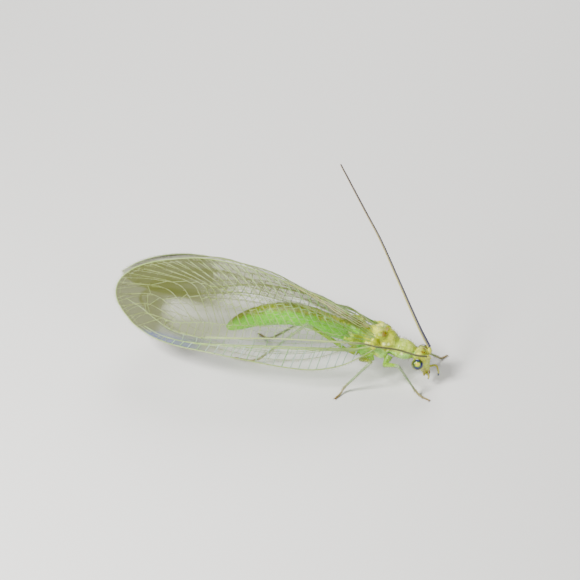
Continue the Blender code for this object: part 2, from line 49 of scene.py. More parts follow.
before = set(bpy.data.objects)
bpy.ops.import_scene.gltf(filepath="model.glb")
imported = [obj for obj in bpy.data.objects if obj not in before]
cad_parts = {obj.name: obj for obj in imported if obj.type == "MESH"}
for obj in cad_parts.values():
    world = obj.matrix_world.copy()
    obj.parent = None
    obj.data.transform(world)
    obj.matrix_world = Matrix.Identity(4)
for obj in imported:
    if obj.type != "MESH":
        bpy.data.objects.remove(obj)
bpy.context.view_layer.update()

MM = 0.001
BODY = "root"
SEED = 7
RIGHT, LEFT = -1, 1
SIDE_NAMES = {RIGHT: "right", LEFT: "left"}
CENTRE_SHIFT = Vector((4.47, -0.53, 0.0))  # from the insect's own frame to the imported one

# Body along the middle plane, (x, z, half width, half height), front to rear
NECK_TO_WAIST = ((2.16, 1.56, 0.24, 0.27), (2.02, 1.62, 0.35, 0.38), (1.86, 1.68, 0.44, 0.46),
                 (1.68, 1.72, 0.48, 0.49), (1.45, 1.76, 0.48, 0.49), (1.28, 1.80, 0.44, 0.46),
                 (1.16, 1.86, 0.44, 0.47), (0.98, 1.96, 0.55, 0.60), (0.75, 2.04, 0.63, 0.71),
                 (0.40, 2.07, 0.65, 0.74), (0.10, 2.06, 0.60, 0.71), (-0.12, 2.06, 0.52, 0.70),
                 (-0.35, 2.10, 0.50, 0.74), (-0.60, 2.16, 0.44, 0.73), (-0.85, 2.22, 0.38, 0.67),
                 (-1.05, 2.29, 0.33, 0.58), (-1.30, 2.36, 0.35, 0.56))
SCUTUM_LOBE = (0.62, 0.27, 2.52, 0.36, 0.29, 0.28)  # centre x, |y|, z and three radii
FRONT_LOBE = (0.95, 0.17, 2.30, 0.20, 0.24, 0.20)
SCUTELLUM = (0.20, 0.0, 2.62, 0.20, 0.24, 0.19)
REAR_LOBE = (-0.42, 0.18, 2.62, 0.25, 0.22, 0.22)
REAR_SCUTELLUM = (-0.74, 0.0, 2.80, 0.15, 0.18, 0.12)
PLATE = (0.60, 0.50, 1.70, 0.34, 0.15, 0.33)  # side plate of the thorax above the mid leg
REAR_PLATE = (-0.30, 0.38, 1.66, 0.26, 0.15, 0.38)
FORE_STALK = (0.40, 0.46, 2.28)  # where the forewing's base leaves the thorax
HIND_STALK = (-0.44, 0.32, 2.26)
STALK_RADII = (0.25, 0.14, 0.04)
KNUCKLES = ((0.05, 0.12, 0.11), (0.10, 0.48, 0.10), (0.42, 0.30, 0.07))  # small plates at a wing's base

# Abdomen: an arched path (x, z), its half width and half height, front to tip
ABDOMEN_PATH = ((-1.10, 2.31), (-1.97, 2.50), (-2.91, 2.77), (-3.85, 2.84), (-4.79, 2.66),
                (-5.72, 2.32), (-6.50, 1.86), (-6.98, 1.52))
ABDOMEN_HALF_WIDTH = (0.34, 0.40, 0.43, 0.44, 0.43, 0.38, 0.30, 0.13)
ABDOMEN_HALF_HEIGHT = (0.56, 0.58, 0.58, 0.59, 0.56, 0.48, 0.36, 0.15)
SEGMENTS = 9
GROOVE_DEPTH = 0.045  # share of the width lost between segments

# Head: rings from the crown down to the lip, (x, z, half depth, half width)
HEAD_RINGS = ((2.41, 1.86, 0.08, 0.12), (2.42, 1.81, 0.21, 0.29), (2.45, 1.70, 0.31, 0.42),
              (2.48, 1.58, 0.38, 0.49), (2.50, 1.38, 0.39, 0.53), (2.53, 1.18, 0.37, 0.50),
              (2.59, 0.99, 0.31, 0.40), (2.65, 0.85, 0.26, 0.32), (2.68, 0.73, 0.22, 0.26),
              (2.70, 0.65, 0.18, 0.21), (2.71, 0.60, 0.10, 0.13))
JAW_LOBES = (((2.64, 0.10, 0.68), (2.66, 0.13, 0.55), (2.67, 0.10, 0.44)),
             ((2.76, 0.05, 0.70), (2.78, 0.07, 0.60), (2.78, 0.05, 0.53)))
JAW_RADII = (0.07, 0.065, 0.05)
JAW_HOOK = ((2.80, 0.15, 0.62), (2.87, 0.13, 0.50), (2.86, 0.04, 0.40))
JAW_HOOK_RADII = (0.055, 0.055, 0.045, 0.035, 0.022, 0.010)

# Feelers, from the base on the face to the tip
SCAPE_BASE = {LEFT: (2.83, 0.27, 1.59), RIGHT: (2.92, -0.30, 1.62)}
SCAPE_RADII = (0.11, 0.115, 0.10, 0.080)
SCAPE_SOCKET = {LEFT: (2.70, 0.20, 1.54), RIGHT: (2.76, -0.22, 1.56)}
RAISED_FEELER = ((2.80, 0.35, 1.78), (2.14, 0.77, 2.69), (0.88, 1.74, 4.55), (-0.10, 2.50, 5.98),
                 (-1.05, 3.15, 7.15), (-2.45, 3.98, 9.02))
SWEPT_FEELER = ((2.88, -0.58, 1.88), (2.46, -0.84, 2.05), (2.01, -0.92, 2.19), (1.65, -1.02, 2.33),
                (1.21, -1.24, 2.51), (0.64, -1.60, 2.75), (-0.08, -1.77, 2.94))
SWEPT_ALONG_WING = ((1.7, 0.03), (3.2, -0.18), (4.8, -0.43), (6.4, -0.74), (7.9, -1.0))
FEELER_CLEARANCE = 0.64  # how far it lies outside the wing's middle
FEELER_JOINTS = 84
FEELER_RADII = {LEFT: (0.094, 0.040), RIGHT: (0.055, 0.026)}
FEELER_SHADE = {LEFT: Vector((0.9, 0.3, -0.3)).normalized(),  # the way its shaded side faces
                RIGHT: Vector((0.1, -0.3, -0.95)).normalized()}
RINGS_PER_JOINT = 5

PALPS = {LEFT: ((2.78, 0.26, 0.72), (3.00, 0.34, 0.78), (3.15, 0.36, 0.78), (3.25, 0.33, 0.50),
                (3.26, 0.30, 0.26)),
         RIGHT: ((2.74, -0.22, 0.72), (2.88, -0.33, 0.74), (2.95, -0.39, 0.68), (2.95, -0.40, 0.56),
                 (2.91, -0.39, 0.46))}
PALP_RADII = (0.066, 0.058, 0.052, 0.048, 0.044)

# Wings: the right one faces outwards, forwards and up, and the left one mirrors it
WING_AZIMUTH = math.radians(14)
WING_ELEVATION = math.radians(34)
WING_PITCH = math.radians(11.7)
WING_ROOT = (0.47, -1.27, 2.31)
ROOF_GAP_HALF = 0.34  # half the gap between the two wings at the ridge
ROOF_BULGE = 0.62  # how far the roof arches out across a wing
RIDGE_TUCK = 0.40  # how far its ridge draws in over the thorax
ROOF_HOLLOW = 0.40  # how much flatter it is behind the radius vein
ROOF_STEEPER = -0.06  # its slope across, all along and more at the tip
TIP_STEEPER = -0.24
FILM_HAZE_AND_SHEEN = 0.85  # how opaque the films are where they are hazy, partly with painted sheen
FAR_HAZE_AND_SHEEN = (0.60, 0.30)  # the far film's share of it, which shows less of the painted sheen, and more by its edge
HIND_FILM_SHARE = 0.30  # how clear the hindwings are beside the forewings
FILM_SINK = 0.85  # how near a solid wing's faces they reach
FILM_CROSSES = {RIGHT: (0.72, 1.0), LEFT: (0.45, 0.85)}  # where across they sink to the inner face
FILM_TUCK = 0.13  # how much further the far wing's films draw in
FILM_HOLLOW = {True: 0.46, False: 0.08}  # how much flatter its fore and hind films are
FILM_GRID = (150, 48)
FLUTE = 0.012  # height of the film's fine folds
VEIN_BRANCHES = {True: 24, False: 17}  # long branches of a fore and a hind wing
VEIN_STEP = 0.14  # distance between the points of a vein
VEIN_SHARE = {RIGHT: 1.0, LEFT: 0.85}  # how thick a side's veins are, and a pair's
PAIR_VEIN_SHARE = {True: 1.0, False: 0.5}
FOLD_LINES = ((0.10, 5.0), (0.20, 4.4), (0.30, 3.6))  # distance from the hind edge, and reach along
FORE_COSTA = ((0.0, 0.02), (0.67, -0.55), (1.36, -1.03), (2.39, -1.44), (3.47, -1.62),
              (5.14, -1.69), (7.92, -1.70), (9.27, -1.69), (10.37, -1.54), (11.37, -1.13), (11.9, -0.72))
FORE_HIND = ((0.0, 0.66), (0.36, 1.02), (1.27, 1.38), (2.47, 1.80), (4.27, 2.22), (5.97, 2.54),
             (7.57, 2.66), (9.02, 2.58), (10.67, 2.13), (11.4, 1.82), (11.9, 1.52))
FORE_TIP_BOW = 0.67
HIND_COSTA = ((1.02, 0.05), (1.7, -0.45), (2.7, -0.95), (4.2, -1.35), (6.2, -1.45), (8.2, -1.38),
              (9.6, -1.08), (10.5, -0.62), (10.9, -0.28))
HIND_HIND = ((1.02, 0.60), (1.5, 0.78), (2.6, 1.12), (4.2, 1.42), (6.0, 1.72), (7.6, 1.80),
             (9.2, 1.55), (10.2, 1.12), (10.9, 0.72))
HIND_TIP_BOW = 0.42
FORE_INSET = (0.0, 0.0, 0.0)  # how far in it lies: root, middle, tip
HIND_INSET = (0.60, 0.62, 0.72)
ROOT_DROP = 0.50  # how far a forewing's root lies in towards the body
FORE_THICK = (0.40, 0.28)  # thickness of the solid wing at the root and the tip
HIND_THICK = (0.34, 0.26)

# Long veins as (distance along, distance across)
FORE_RADIUS_VEIN = ((0.0, 0.26), (0.7, -0.08), (1.35, -0.23), (3.08, -0.53), (4.37, -0.74), (5.64, -0.96),
                    (7.74, -1.31), (8.95, -1.43), (10.0, -1.37), (10.9, -1.10))
FORE_SECTOR = ((0.0, 0.34), (0.9, 0.10), (1.54, 0.08), (3.16, -0.16), (4.45, -0.37), (5.71, -0.64),
               (7.79, -1.04), (8.72, -1.08), (9.6, -1.01), (10.41, -0.68), (11.2, -0.28), (12.0, 0.02))
FORE_ZIGZAG = ((0.0, 0.40), (1.5, 0.38), (3.3, 0.33), (4.69, 0.13), (5.8, 0.0), (7.03, -0.22),
               (8.01, -0.30), (8.9, -0.50), (9.67, -0.62), (10.6, -0.42))
FORE_MIDDLE = ((0.0, 0.48), (1.6, 0.66), (3.2, 0.80), (4.8, 0.80), (6.3, 0.76), (7.2, 0.80),
               (8.2, 0.90), (9.1, 0.78), (9.9, 0.52), (10.6, 0.34))
FORE_UPPER = ((0.0, 0.55), (1.4, 0.88), (2.6, 1.12), (4.0, 1.26), (5.4, 1.24), (6.8, 1.34), (8.2, 1.44),
              (9.3, 1.42), (10.2, 1.20), (11.0, 0.92))
HIND_RADIUS_VEIN = ((1.02, 0.20), (2.0, -0.28), (3.0, -0.68), (4.4, -1.00), (6.2, -1.14), (8.0, -1.12),
                    (9.2, -0.98), (10.0, -0.70))
HIND_SECTOR = ((1.02, 0.28), (2.0, -0.02), (3.2, -0.34), (4.6, -0.60), (6.2, -0.78), (7.8, -0.80),
               (9.0, -0.62), (10.0, -0.30), (10.9, 0.0))
HIND_ZIGZAG = ((1.02, 0.34), (2.2, 0.22), (3.6, 0.06), (5.0, -0.12), (6.4, -0.30), (7.8, -0.36),
               (8.8, -0.28), (9.8, -0.10))
HIND_MIDDLE = ((1.02, 0.40), (2.4, 0.52), (4.0, 0.56), (5.6, 0.56), (7.0, 0.60), (8.2, 0.52), (9.4, 0.30))
HIND_UPPER = ((1.02, 0.46), (2.2, 0.78), (3.8, 0.94), (5.4, 1.02), (7.0, 1.08), (8.4, 0.98), (9.6, 0.66))
EDGES = {"fore": (FORE_COSTA, FORE_HIND, FORE_TIP_BOW, FORE_INSET, FORE_THICK, ROOT_DROP),
         "hind": (HIND_COSTA, HIND_HIND, HIND_TIP_BOW, HIND_INSET, HIND_THICK, 0.0)}
LONG_VEINS = {"fore": (FORE_RADIUS_VEIN, FORE_SECTOR, FORE_ZIGZAG, FORE_MIDDLE, FORE_UPPER),
              "hind": (HIND_RADIUS_VEIN, HIND_SECTOR, HIND_ZIGZAG, HIND_MIDDLE, HIND_UPPER)}

# Legs: root on the body, trochanter, knee, ankle, toe tip
LEGS = {
    ("fore", RIGHT): ((1.02, -0.40, 1.50), (0.86, -0.76, 1.14), (1.76, -1.65, 1.86),
                      (2.45, -1.20, 0.30), (3.20, -1.50, 0.12)),
    ("fore", LEFT): ((1.06, 0.40, 1.50), (1.02, 0.66, 0.98), (1.74, 1.12, 1.22),
                     (2.86, 1.76, 0.30), (3.22, 2.30, 0.12)),
    ("mid", RIGHT): ((0.24, -0.40, 1.36), (-0.32, -0.70, 1.24), (0.42, -1.62, 1.84),
                     (-0.84, -1.78, 0.30), (-1.11, -2.43, 0.12)),
    ("mid", LEFT): ((0.24, 0.40, 1.36), (-0.22, 0.72, 1.02), (0.34, 1.52, 1.66),
                    (-0.86, 1.80, 0.30), (-1.16, 2.44, 0.12)),
    ("hind", RIGHT): ((-0.56, -0.34, 1.50), (-1.02, -0.58, 1.60), (-2.96, -0.71, 2.85),
                      (-5.30, -0.50, 0.30), (-6.50, -0.30, 0.12)),
    ("hind", LEFT): ((-0.56, 0.34, 1.42), (-1.04, 0.66, 1.16), (-2.95, 0.90, 2.35),
                     (-5.10, 1.40, 0.30), (-5.95, 1.95, 0.12)),
}
COXA_RADII = {"fore": (0.20, 0.17, 0.13, 0.10), "mid": (0.24, 0.20, 0.14, 0.10),
              "hind": (0.24, 0.22, 0.15, 0.10)}
FEMUR_RADII = (0.088, 0.105, 0.102, 0.090, 0.082)
TIBIA_RADII = (0.075, 0.066, 0.062, 0.060, 0.066)
TARSUS_RADII = (0.060, 0.052, 0.046)
FOOT_PATH = ((0.14, 0.24), (0.30, 0.13), (0.60, 0.065), (1.0, 0.055))
LEG_PARTS = ("coxa", "femur", "tibia", "tarsus")
CLAW_HEIGHT = 0.055
CLAW_TIP_HEIGHT = 0.012
CLAW_RADII = (0.022, 0.020, 0.017, 0.014, 0.010, 0.006)
PAD_RADII = (0.03, 0.032, 0.028, 0.01)

# Colours of the body
LIME = (0.15, 0.60, 0.002)
OLIVE = (0.25, 0.31, 0.001)
LEAF = (0.17, 0.44, 0.02)
YELLOW = (0.38, 0.42, 0.002)
CREAM = (0.66, 0.66, 0.06)
RUST = (0.22, 0.06, 0.002)
DEEP = (0.09, 0.115, 0.001)
PALE_SHIN = (0.25, 0.33, 0.19)
TAN = (0.25, 0.15, 0.04)
BROWN = (0.17, 0.10, 0.004)
MINT = (0.42, 0.76, 0.14)
# White of the painted highlights on the glossy skin, set as marks below
PAINTED_HIGHLIGHT = (0.90, 0.92, 0.42)
PALP_TIP = (0.03, 0.045, 0.16)
CLAW_BROWN = (0.14, 0.06, 0.02)

# Markings and painted highlights on both sides of the body: colour, centre x, |y|, z, radius, strength
THORAX_MARKS = ((OLIVE, 0.74, 0.47, 2.64, 0.27, 0.85), (OLIVE, -0.04, 0.38, 2.56, 0.26, 0.85),
                (DEEP, 0.09, 0.46, 2.50, 0.12, 0.9), (CREAM, 0.36, 0.22, 2.76, 0.22, 1.0),
                (CREAM, 1.04, 0.28, 2.52, 0.17, 1.0), (BROWN, 0.77, 0.44, 2.71, 0.15, 0.95),
                (RUST, 0.82, 0.06, 2.74, 0.09, 0.6), (BROWN, -0.43, 0.16, 2.84, 0.16, 0.85),
                (DEEP, -1.15, 0.20, 2.78, 0.20, 0.75), (CREAM, -0.20, 0.24, 2.78, 0.11, 0.8),
                (PAINTED_HIGHLIGHT, 0.79, 0.61, 2.25, 0.09, 0.9), (PAINTED_HIGHLIGHT, 1.01, 0.52, 2.23, 0.08, 0.9),
                (PAINTED_HIGHLIGHT, -0.90, 0.32, 2.42, 0.11, 0.8), (PAINTED_HIGHLIGHT, 0.30, 0.66, 2.12, 0.10, 0.7),
                (PAINTED_HIGHLIGHT, 0.98, 0.55, 1.84, 0.07, 0.9), (PAINTED_HIGHLIGHT, 1.64, 0.47, 1.75, 0.08, 1.0),
                (PAINTED_HIGHLIGHT, 1.36, 0.45, 1.68, 0.06, 0.8), (CREAM, 0.45, 0.62, 1.58, 0.16, 0.7),
                (PAINTED_HIGHLIGHT, 1.98, 0.20, 2.06, 0.17, 0.20), (PAINTED_HIGHLIGHT, 1.68, 0.20, 2.15, 0.13, 0.15))
# The head's marks; the white one by each feeler's base is a painted highlight
HEAD_MARKS = ((OLIVE, 2.80, 0.03, 1.64, 0.22, 0.9), (OLIVE, 2.70, 0.14, 1.72, 0.15, 0.8),
              (CREAM, 2.43, 0.30, 1.80, 0.14, 0.9), (RUST, 2.58, 0.17, 1.83, 0.075, 0.9),
              (RUST, 2.66, 0.13, 1.78, 0.065, 0.8), (TAN, 2.72, 0.38, 0.95, 0.12, 0.7),
              (TAN, 2.72, 0.20, 0.66, 0.16, 0.6), (DEEP, 2.30, 0.24, 1.88, 0.10, 0.7),
              (PAINTED_HIGHLIGHT, 2.86, 0.27, 1.44, 0.07, 0.8))

# Colours of the eyes, and where their spots and patches lie
EYE_GOLD = (0.66, 0.52, 0.004)
EYE_GREEN = (0.15, 0.30, 0.01)
EYE_NAVY = (0.004, 0.006, 0.085)
EYE_DARK = (0.035, 0.052, 0.008)
EYE_RIM = (0.17, 0.19, 0.03)
EYE_PATCHES = (1.75, -0.45, -1.75)  # directions of the navy patches round the gold spot
GAZE = Vector((0.20, -0.82, 0.53)).normalized()  # where a right eye's gold spot faces

# Colours of the veins and films
ROOT_VEIN = (0.16, 0.34, 0.06)
GLINT_VEIN = (0.38, 0.44, 0.46)
TIP_VEIN = (0.24, 0.29, 0.085)
FOLD_VEIN = (0.46, 0.42, 0.18)
# The films' olive haziness is partly painted sheen of the membrane
OLIVE_HAZE_AND_SHEEN = (0.062, 0.071, 0.010)
CLEAR_FILM = (0.22, 0.26, 0.06)
# Painted sheen of the films, blue and teal
BLUE_SHEEN = (0.06, 0.075, 0.22)
TEAL_SHEEN = (0.09, 0.14, 0.15)

# Colours of a feeler's pale and shaded sides, at its base and its tip
RAISED_PALE = ((0.66, 0.60, 0.12), (0.34, 0.25, 0.09))
RAISED_SHADE = ((0.005, 0.006, 0.085), (0.04, 0.036, 0.06))
SWEPT_PALE = ((0.19, 0.20, 0.05), (0.34, 0.42, 0.15))
SWEPT_SHADE = (0.07, 0.075, 0.03)

# Hairs of the skin by form: hairs for each hundred points of the skin, length, lean along the form
SKIN_HAIRS = {"head": (1.6, 0.10, 0.3), "thorax": (1.8, 0.14, 0.5), "abdomen": (1.6, 0.11, 0.9),
              "scape": (3.0, 0.07, 0.6), "palp": (5.0, 0.06, 0.6), "coxa": (2.0, 0.10, 0.5),
              "femur": (3.5, 0.10, 0.7), "tibia": (7.0, 0.10, 0.8), "tarsus": (9.0, 0.07, 0.8)}
HAIR_RADIUS = 0.007
PALE_HAIR = (0.50, 0.52, 0.30)
DARK_HAIR = (0.20, 0.19, 0.10)
SKIN_HAIR_SHARE = 0.09  # share of the skin's points tried for a hair
MOST_HAIRS = 9  # the densest form's hairs for each hundred points
FRINGE_HAIR = 0.17  # length and spacing of the hairs round a wing
FRINGE_STEP = 0.045
VEIN_HAIR = 0.09  # and along its veins
VEIN_HAIR_STEP = 0.16

# Camera and studio: lamps as name, place, width, power
VIEW_AZIMUTH = math.radians(14)
VIEW_ELEVATION = math.radians(34)
VIEW_CENTRE = Vector((0.232, 0.719, 3.316))
FRAME_WIDTH = 27.62  # width of the picture at the insect
SENSOR_WIDTH = 36.0
LAMPS = (("key", (-0.035, -0.045, 0.060), 0.022, 0.170), ("fill", (0.060, -0.050, 0.035), 0.050, 0.025),
         ("back", (-0.010, 0.060, 0.050), 0.040, 0.050))
AIR_COLOUR = (1.0, 0.98, 0.95, 1.0)
AIR_LIGHT = 0.20
FLOOR_COLOUR = (0.72, 0.71, 0.68, 1.0)


def ramp(value, start, end):
    """0 before start, 1 after end, with a soft turn between."""
    t = min(max((value - start) / (end - start), 0.0), 1.0)
    return t * t * (3 - 2 * t)


def fade(value, start, end):
    """1 before start, 0 after end, with a soft turn between."""
    return 1 - ramp(value, start, end)


def along(points, t):
    """The point at fraction t of a smooth curve through the points, spaced evenly by index."""
    last = len(points) - 1
    place = min(max(t, 0.0), 1.0) * last
    i = min(int(place), last - 1)
    u = place - i
    p1, p2 = Vector(points[i]), Vector(points[i + 1])
    p0 = Vector(points[i - 1]) if i > 0 else p1 * 2 - p2
    p3 = Vector(points[i + 2]) if i + 2 <= last else p2 * 2 - p1
    return 0.5 * (2 * p1 + (p2 - p0) * u + (2 * p0 - 5 * p1 + 4 * p2 - p3) * u * u
                  + (3 * p1 - p0 - 3 * p2 + p3) * u ** 3)


def value_along(values, t):
    """The number at fraction t of a smooth curve through the values."""
    return along([(v, 0, 0) for v in values], t).x


def evenly(points, count):
    """The smooth curve through the points as count points at even distances."""
    fine = [along(points, i / 240) for i in range(241)]
    run = [0.0]
    for one, other in zip(fine, fine[1:]):
        run.append(run[-1] + (other - one).length)
    spread = []
    k = 0
    for i in range(count):
        want = run[-1] * i / (count - 1)
        while k < 239 and run[k + 1] < want:
            k += 1
        spread.append(fine[k].lerp(fine[k + 1], min((want - run[k]) / (run[k + 1] - run[k]), 1.0)))
    return spread


def height_at(points, x):
    """The smooth curve through (x, value) points, read at x."""
    i = 0
    while i < len(points) - 2 and x > points[i + 1][0]:
        i += 1

    def slope(k):
        a, b = points[max(k - 1, 0)], points[min(k + 1, len(points) - 1)]
        return (b[1] - a[1]) / (b[0] - a[0])

    (x0, y0), (x1, y1) = points[i], points[i + 1]
    width = x1 - x0
    u = min(max((x - x0) / width, 0.0), 1.0)
    return (y0 * (1 + 2 * u) * (1 - u) ** 2 + slope(i) * width * u * (1 - u) ** 2
            + y1 * u * u * (3 - 2 * u) - slope(i + 1) * width * u * u * (1 - u))


def mix(one, other, share):
    """A colour between two colours."""
    return tuple(a + (b - a) * share for a, b in zip(one, other))


def settings():
    """The sizes and colours set in the sidebar."""
    return bpy.context.scene.lacewing


def placed(name, data):
    """A new object of the scene that holds the data."""
    made = bpy.data.objects.new(name, data)
    bpy.context.scene.collection.objects.link(made)
    return made


def preset(node, values):
    """Sets a node's inputs by name."""
    for name, value in values.items():
        node.inputs[name].default_value = value


def tree_of(places):
    """A search tree of places."""
    tree = kdtree.KDTree(len(places))
    for i, place in enumerate(places):
        tree.insert(place, i)
    tree.balance()
    return tree


def mirrored(place, side):
    """A place or direction of the right side, taken to a side."""
    return Vector((place.x, place.y * -side, place.z))


def facing(azimuth, elevation):
    """The level direction to the right, and the one outwards, of a plane that faces so."""
    right = Vector((math.cos(azimuth), math.sin(azimuth), 0.0))
    out = Vector((math.sin(azimuth) * math.cos(elevation),
                  -math.cos(azimuth) * math.cos(elevation), math.sin(elevation)))
    return right, out


def finish_piece(name, mesh, material, replaced=()):
    """A mesh in millimetres of the insect's frame becomes a finished piece in place, riding on the body."""
    mesh.transform(Matrix.Diagonal((MM, MM, MM, 1.0)) @ Matrix.Translation(CENTRE_SHIFT))
    mesh.materials.clear()
    mesh.materials.append(material)
    mesh.shade_smooth()
    mesh.name = name
    piece = placed(name, mesh)
    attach(piece, BODY)
    if replaced:
        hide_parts(*replaced)
    return piece


def mesh_of(bm, name):
    """A mesh from a bmesh, which is then freed."""
    mesh = bpy.data.meshes.new(name)
    bm.to_mesh(mesh)
    bm.free()
    return mesh


def mesh_of_curve(name, splines, sides=8, tints=None, patches=None):
    """One mesh of closed tubes from lists of points and radii, with a tint and a map patch for each."""
    curve = bpy.data.curves.new(name, "CURVE")
    curve.dimensions = "3D"
    curve.bevel_depth = 1.0
    curve.bevel_resolution = sides // 2 - 2
    curve.use_fill_caps = True
    for points, radii in splines:
        line = curve.splines.new("POLY")
        line.points.add(len(points) - 1)
        for i, (place, radius) in enumerate(zip(points, radii)):
            line.points[i].co = (*place, 1.0)
            line.points[i].radius = radius
    holder = placed(name, curve)
    seen = bpy.context.evaluated_depsgraph_get()
    mesh = bpy.data.meshes.new_from_object(holder.evaluated_get(seen))
    bpy.data.objects.remove(holder)
    bpy.data.curves.remove(curve)
    # the mesh holds the caps first, from the last tube's to the first's, and then the tubes
    owners = [(i, k // sides * (len(splines[i][0]) - 1), k % sides)
              for i in reversed(range(len(splines))) for k in reversed(range(2 * sides))]
    owners += [(i, k // sides, k % sides)
               for i in range(len(splines)) for k in range(sides * len(splines[i][0]))]
    if len(owners) != len(mesh.vertices):
        raise RuntimeError("the tubes of " + name + " have other points than expected")
    if tints:
        paint(mesh, "tint", [tints[i] for i, ring, turn in owners])
    if patches:
        layer = mesh.uv_layers.new(name="OFBake")
        for loop in mesh.loops:
            i, ring, turn = owners[loop.vertex_index]
            u, v = patches[i]
            layer.uv[loop.index].vector = (u + 0.001 * turn, v + 0.001 * ring)
    bm = bmesh.new()
    bm.from_mesh(mesh)
    bmesh.ops.remove_doubles(bm, verts=bm.verts, dist=1e-5)
    bmesh.ops.recalc_face_normals(bm, faces=bm.faces)
    bm.to_mesh(mesh)
    bm.free()
    return mesh


def shaders(name):
    """A new material with its node tree and its Principled shader."""
    material = bpy.data.materials.new(name)
    material.use_nodes = True
    tree = material.node_tree
    return material, tree, tree.nodes["Principled BSDF"]


def millimetre_coordinates(tree):
    """Object coordinates in millimetres."""
    place = tree.nodes.new("ShaderNodeTexCoord")
    scale = tree.nodes.new("ShaderNodeMapping")
    preset(scale, {"Scale": (1 / MM, 1 / MM, 1 / MM)})
    tree.links.new(place.outputs["Object"], scale.inputs["Vector"])
    return scale.outputs["Vector"]


def noise_value(tree, vector, scale, detail=3.0):
    """The value of a noise with so many waves a millimetre."""
    made = tree.nodes.new("ShaderNodeTexNoise")
    preset(made, {"Scale": scale, "Detail": detail})
    tree.links.new(vector, made.inputs["Vector"])
    return made.outputs["Fac"]


def ranged(tree, value, low, high, to_low, to_high):
    """A value moved from one range to another, and clamped."""
    made = tree.nodes.new("ShaderNodeMapRange")
    preset(made, {"From Min": low, "From Max": high, "To Min": to_low, "To Max": to_high})
    tree.links.new(value, made.inputs["Value"])
    return made.outputs["Result"]


def mixed_colour(tree, share, one, other, blend="MIX"):
    """Two colours, each a socket or a value, mixed by a share that is a socket or a value."""
    made = tree.nodes.new("ShaderNodeMix")
    made.data_type = "RGBA"
    made.blend_type = blend
    for socket, given in (("Factor", share), ("A", one), ("B", other)):
        into = next(s for s in made.inputs if s.name == socket and s.enabled)
        if isinstance(given, bpy.types.NodeSocket):
            tree.links.new(given, into)
        elif socket == "Factor":
            into.default_value = given
        else:
            into.default_value = (*given, 1.0)
    return next(s for s in made.outputs if s.enabled)


def colour_attribute(tree, name):
    """A mesh's own colours by name."""
    made = tree.nodes.new("ShaderNodeAttribute")
    made.attribute_name = name
    return made.outputs["Color"]


def bumped(tree, shader, height, strength, distance):
    """Relief on a shader from a height."""
    made = tree.nodes.new("ShaderNodeBump")
    preset(made, {"Strength": strength, "Distance": distance * MM})
    tree.links.new(height, made.inputs["Height"])
    tree.links.new(made.outputs["Normal"], shader.inputs["Normal"])


def skin_material():
    """Thin, slightly clear cuticle: the painted markings with their painted highlights and shade, fine pale
    granules under it, and a soft gloss.
    """
    material, tree, shader = shaders("cuticle")
    place = millimetre_coordinates(tree)
    tint = colour_attribute(tree, "tint")
    grains = ranged(tree, noise_value(tree, place, 13.0, 4.0), 0.56, 0.70, 0.0, 0.50)
    paler = mixed_colour(tree, 0.40, tint, (0.90, 0.92, 0.16))
    speckled = mixed_colour(tree, grains, tint, paler)
    pits = ranged(tree, noise_value(tree, place, 8.0, 3.0), 0.34, 0.50, 0.55, 0.0)
    greener = mixed_colour(tree, 1.0, tint, (0.46, 0.60, 0.34), "MULTIPLY")
    pitted = mixed_colour(tree, pits, speckled, greener)
    blotches = ranged(tree, noise_value(tree, place, 3.2, 2.0), 0.35, 0.65, 0.0, 0.40)
    deeper = mixed_colour(tree, 1.0, pitted, (0.66, 0.84, 0.46), "MULTIPLY")
    tree.links.new(mixed_colour(tree, blotches, pitted, deeper), shader.inputs["Base Color"])
    rough = ranged(tree, noise_value(tree, place, 9.0), 0.3, 0.7, 0.20, 0.42)
    tree.links.new(rough, shader.inputs["Roughness"])
    bumped(tree, shader, noise_value(tree, place, 16.0, 5.0), 0.8, 0.03)
    preset(shader, {"Subsurface Weight": 0.15, "Subsurface Radius": (0.9, 1.0, 0.15),
                    "Subsurface Scale": 0.18 * MM, "Specular IOR Level": 0.36})
    return material


def painted_material(name, roughness):
    """A finish that takes its colour from the mesh's own tint."""
    material, tree, shader = shaders(name)
    place = millimetre_coordinates(tree)
    grain = noise_value(tree, place, 30.0, 2.0)
    tint = colour_attribute(tree, "tint")
    shade = mixed_colour(tree, 1.0, tint, (0.80, 0.80, 0.76), "MULTIPLY")
    tree.links.new(mixed_colour(tree, ranged(tree, grain, 0.35, 0.65, 0.0, 1.0), tint, shade),
                   shader.inputs["Base Color"])
    preset(shader, {"Roughness": roughness})
    bumped(tree, shader, grain, 0.2, 0.01)
    return material


def paint(mesh, name, colours):
    """Stores one colour for each vertex."""
    made = mesh.color_attributes.new(name, "FLOAT_COLOR", "POINT")
    flat = []
    for colour in colours:
        flat += [*colour, 1.0]
    made.data.foreach_set("color", flat)


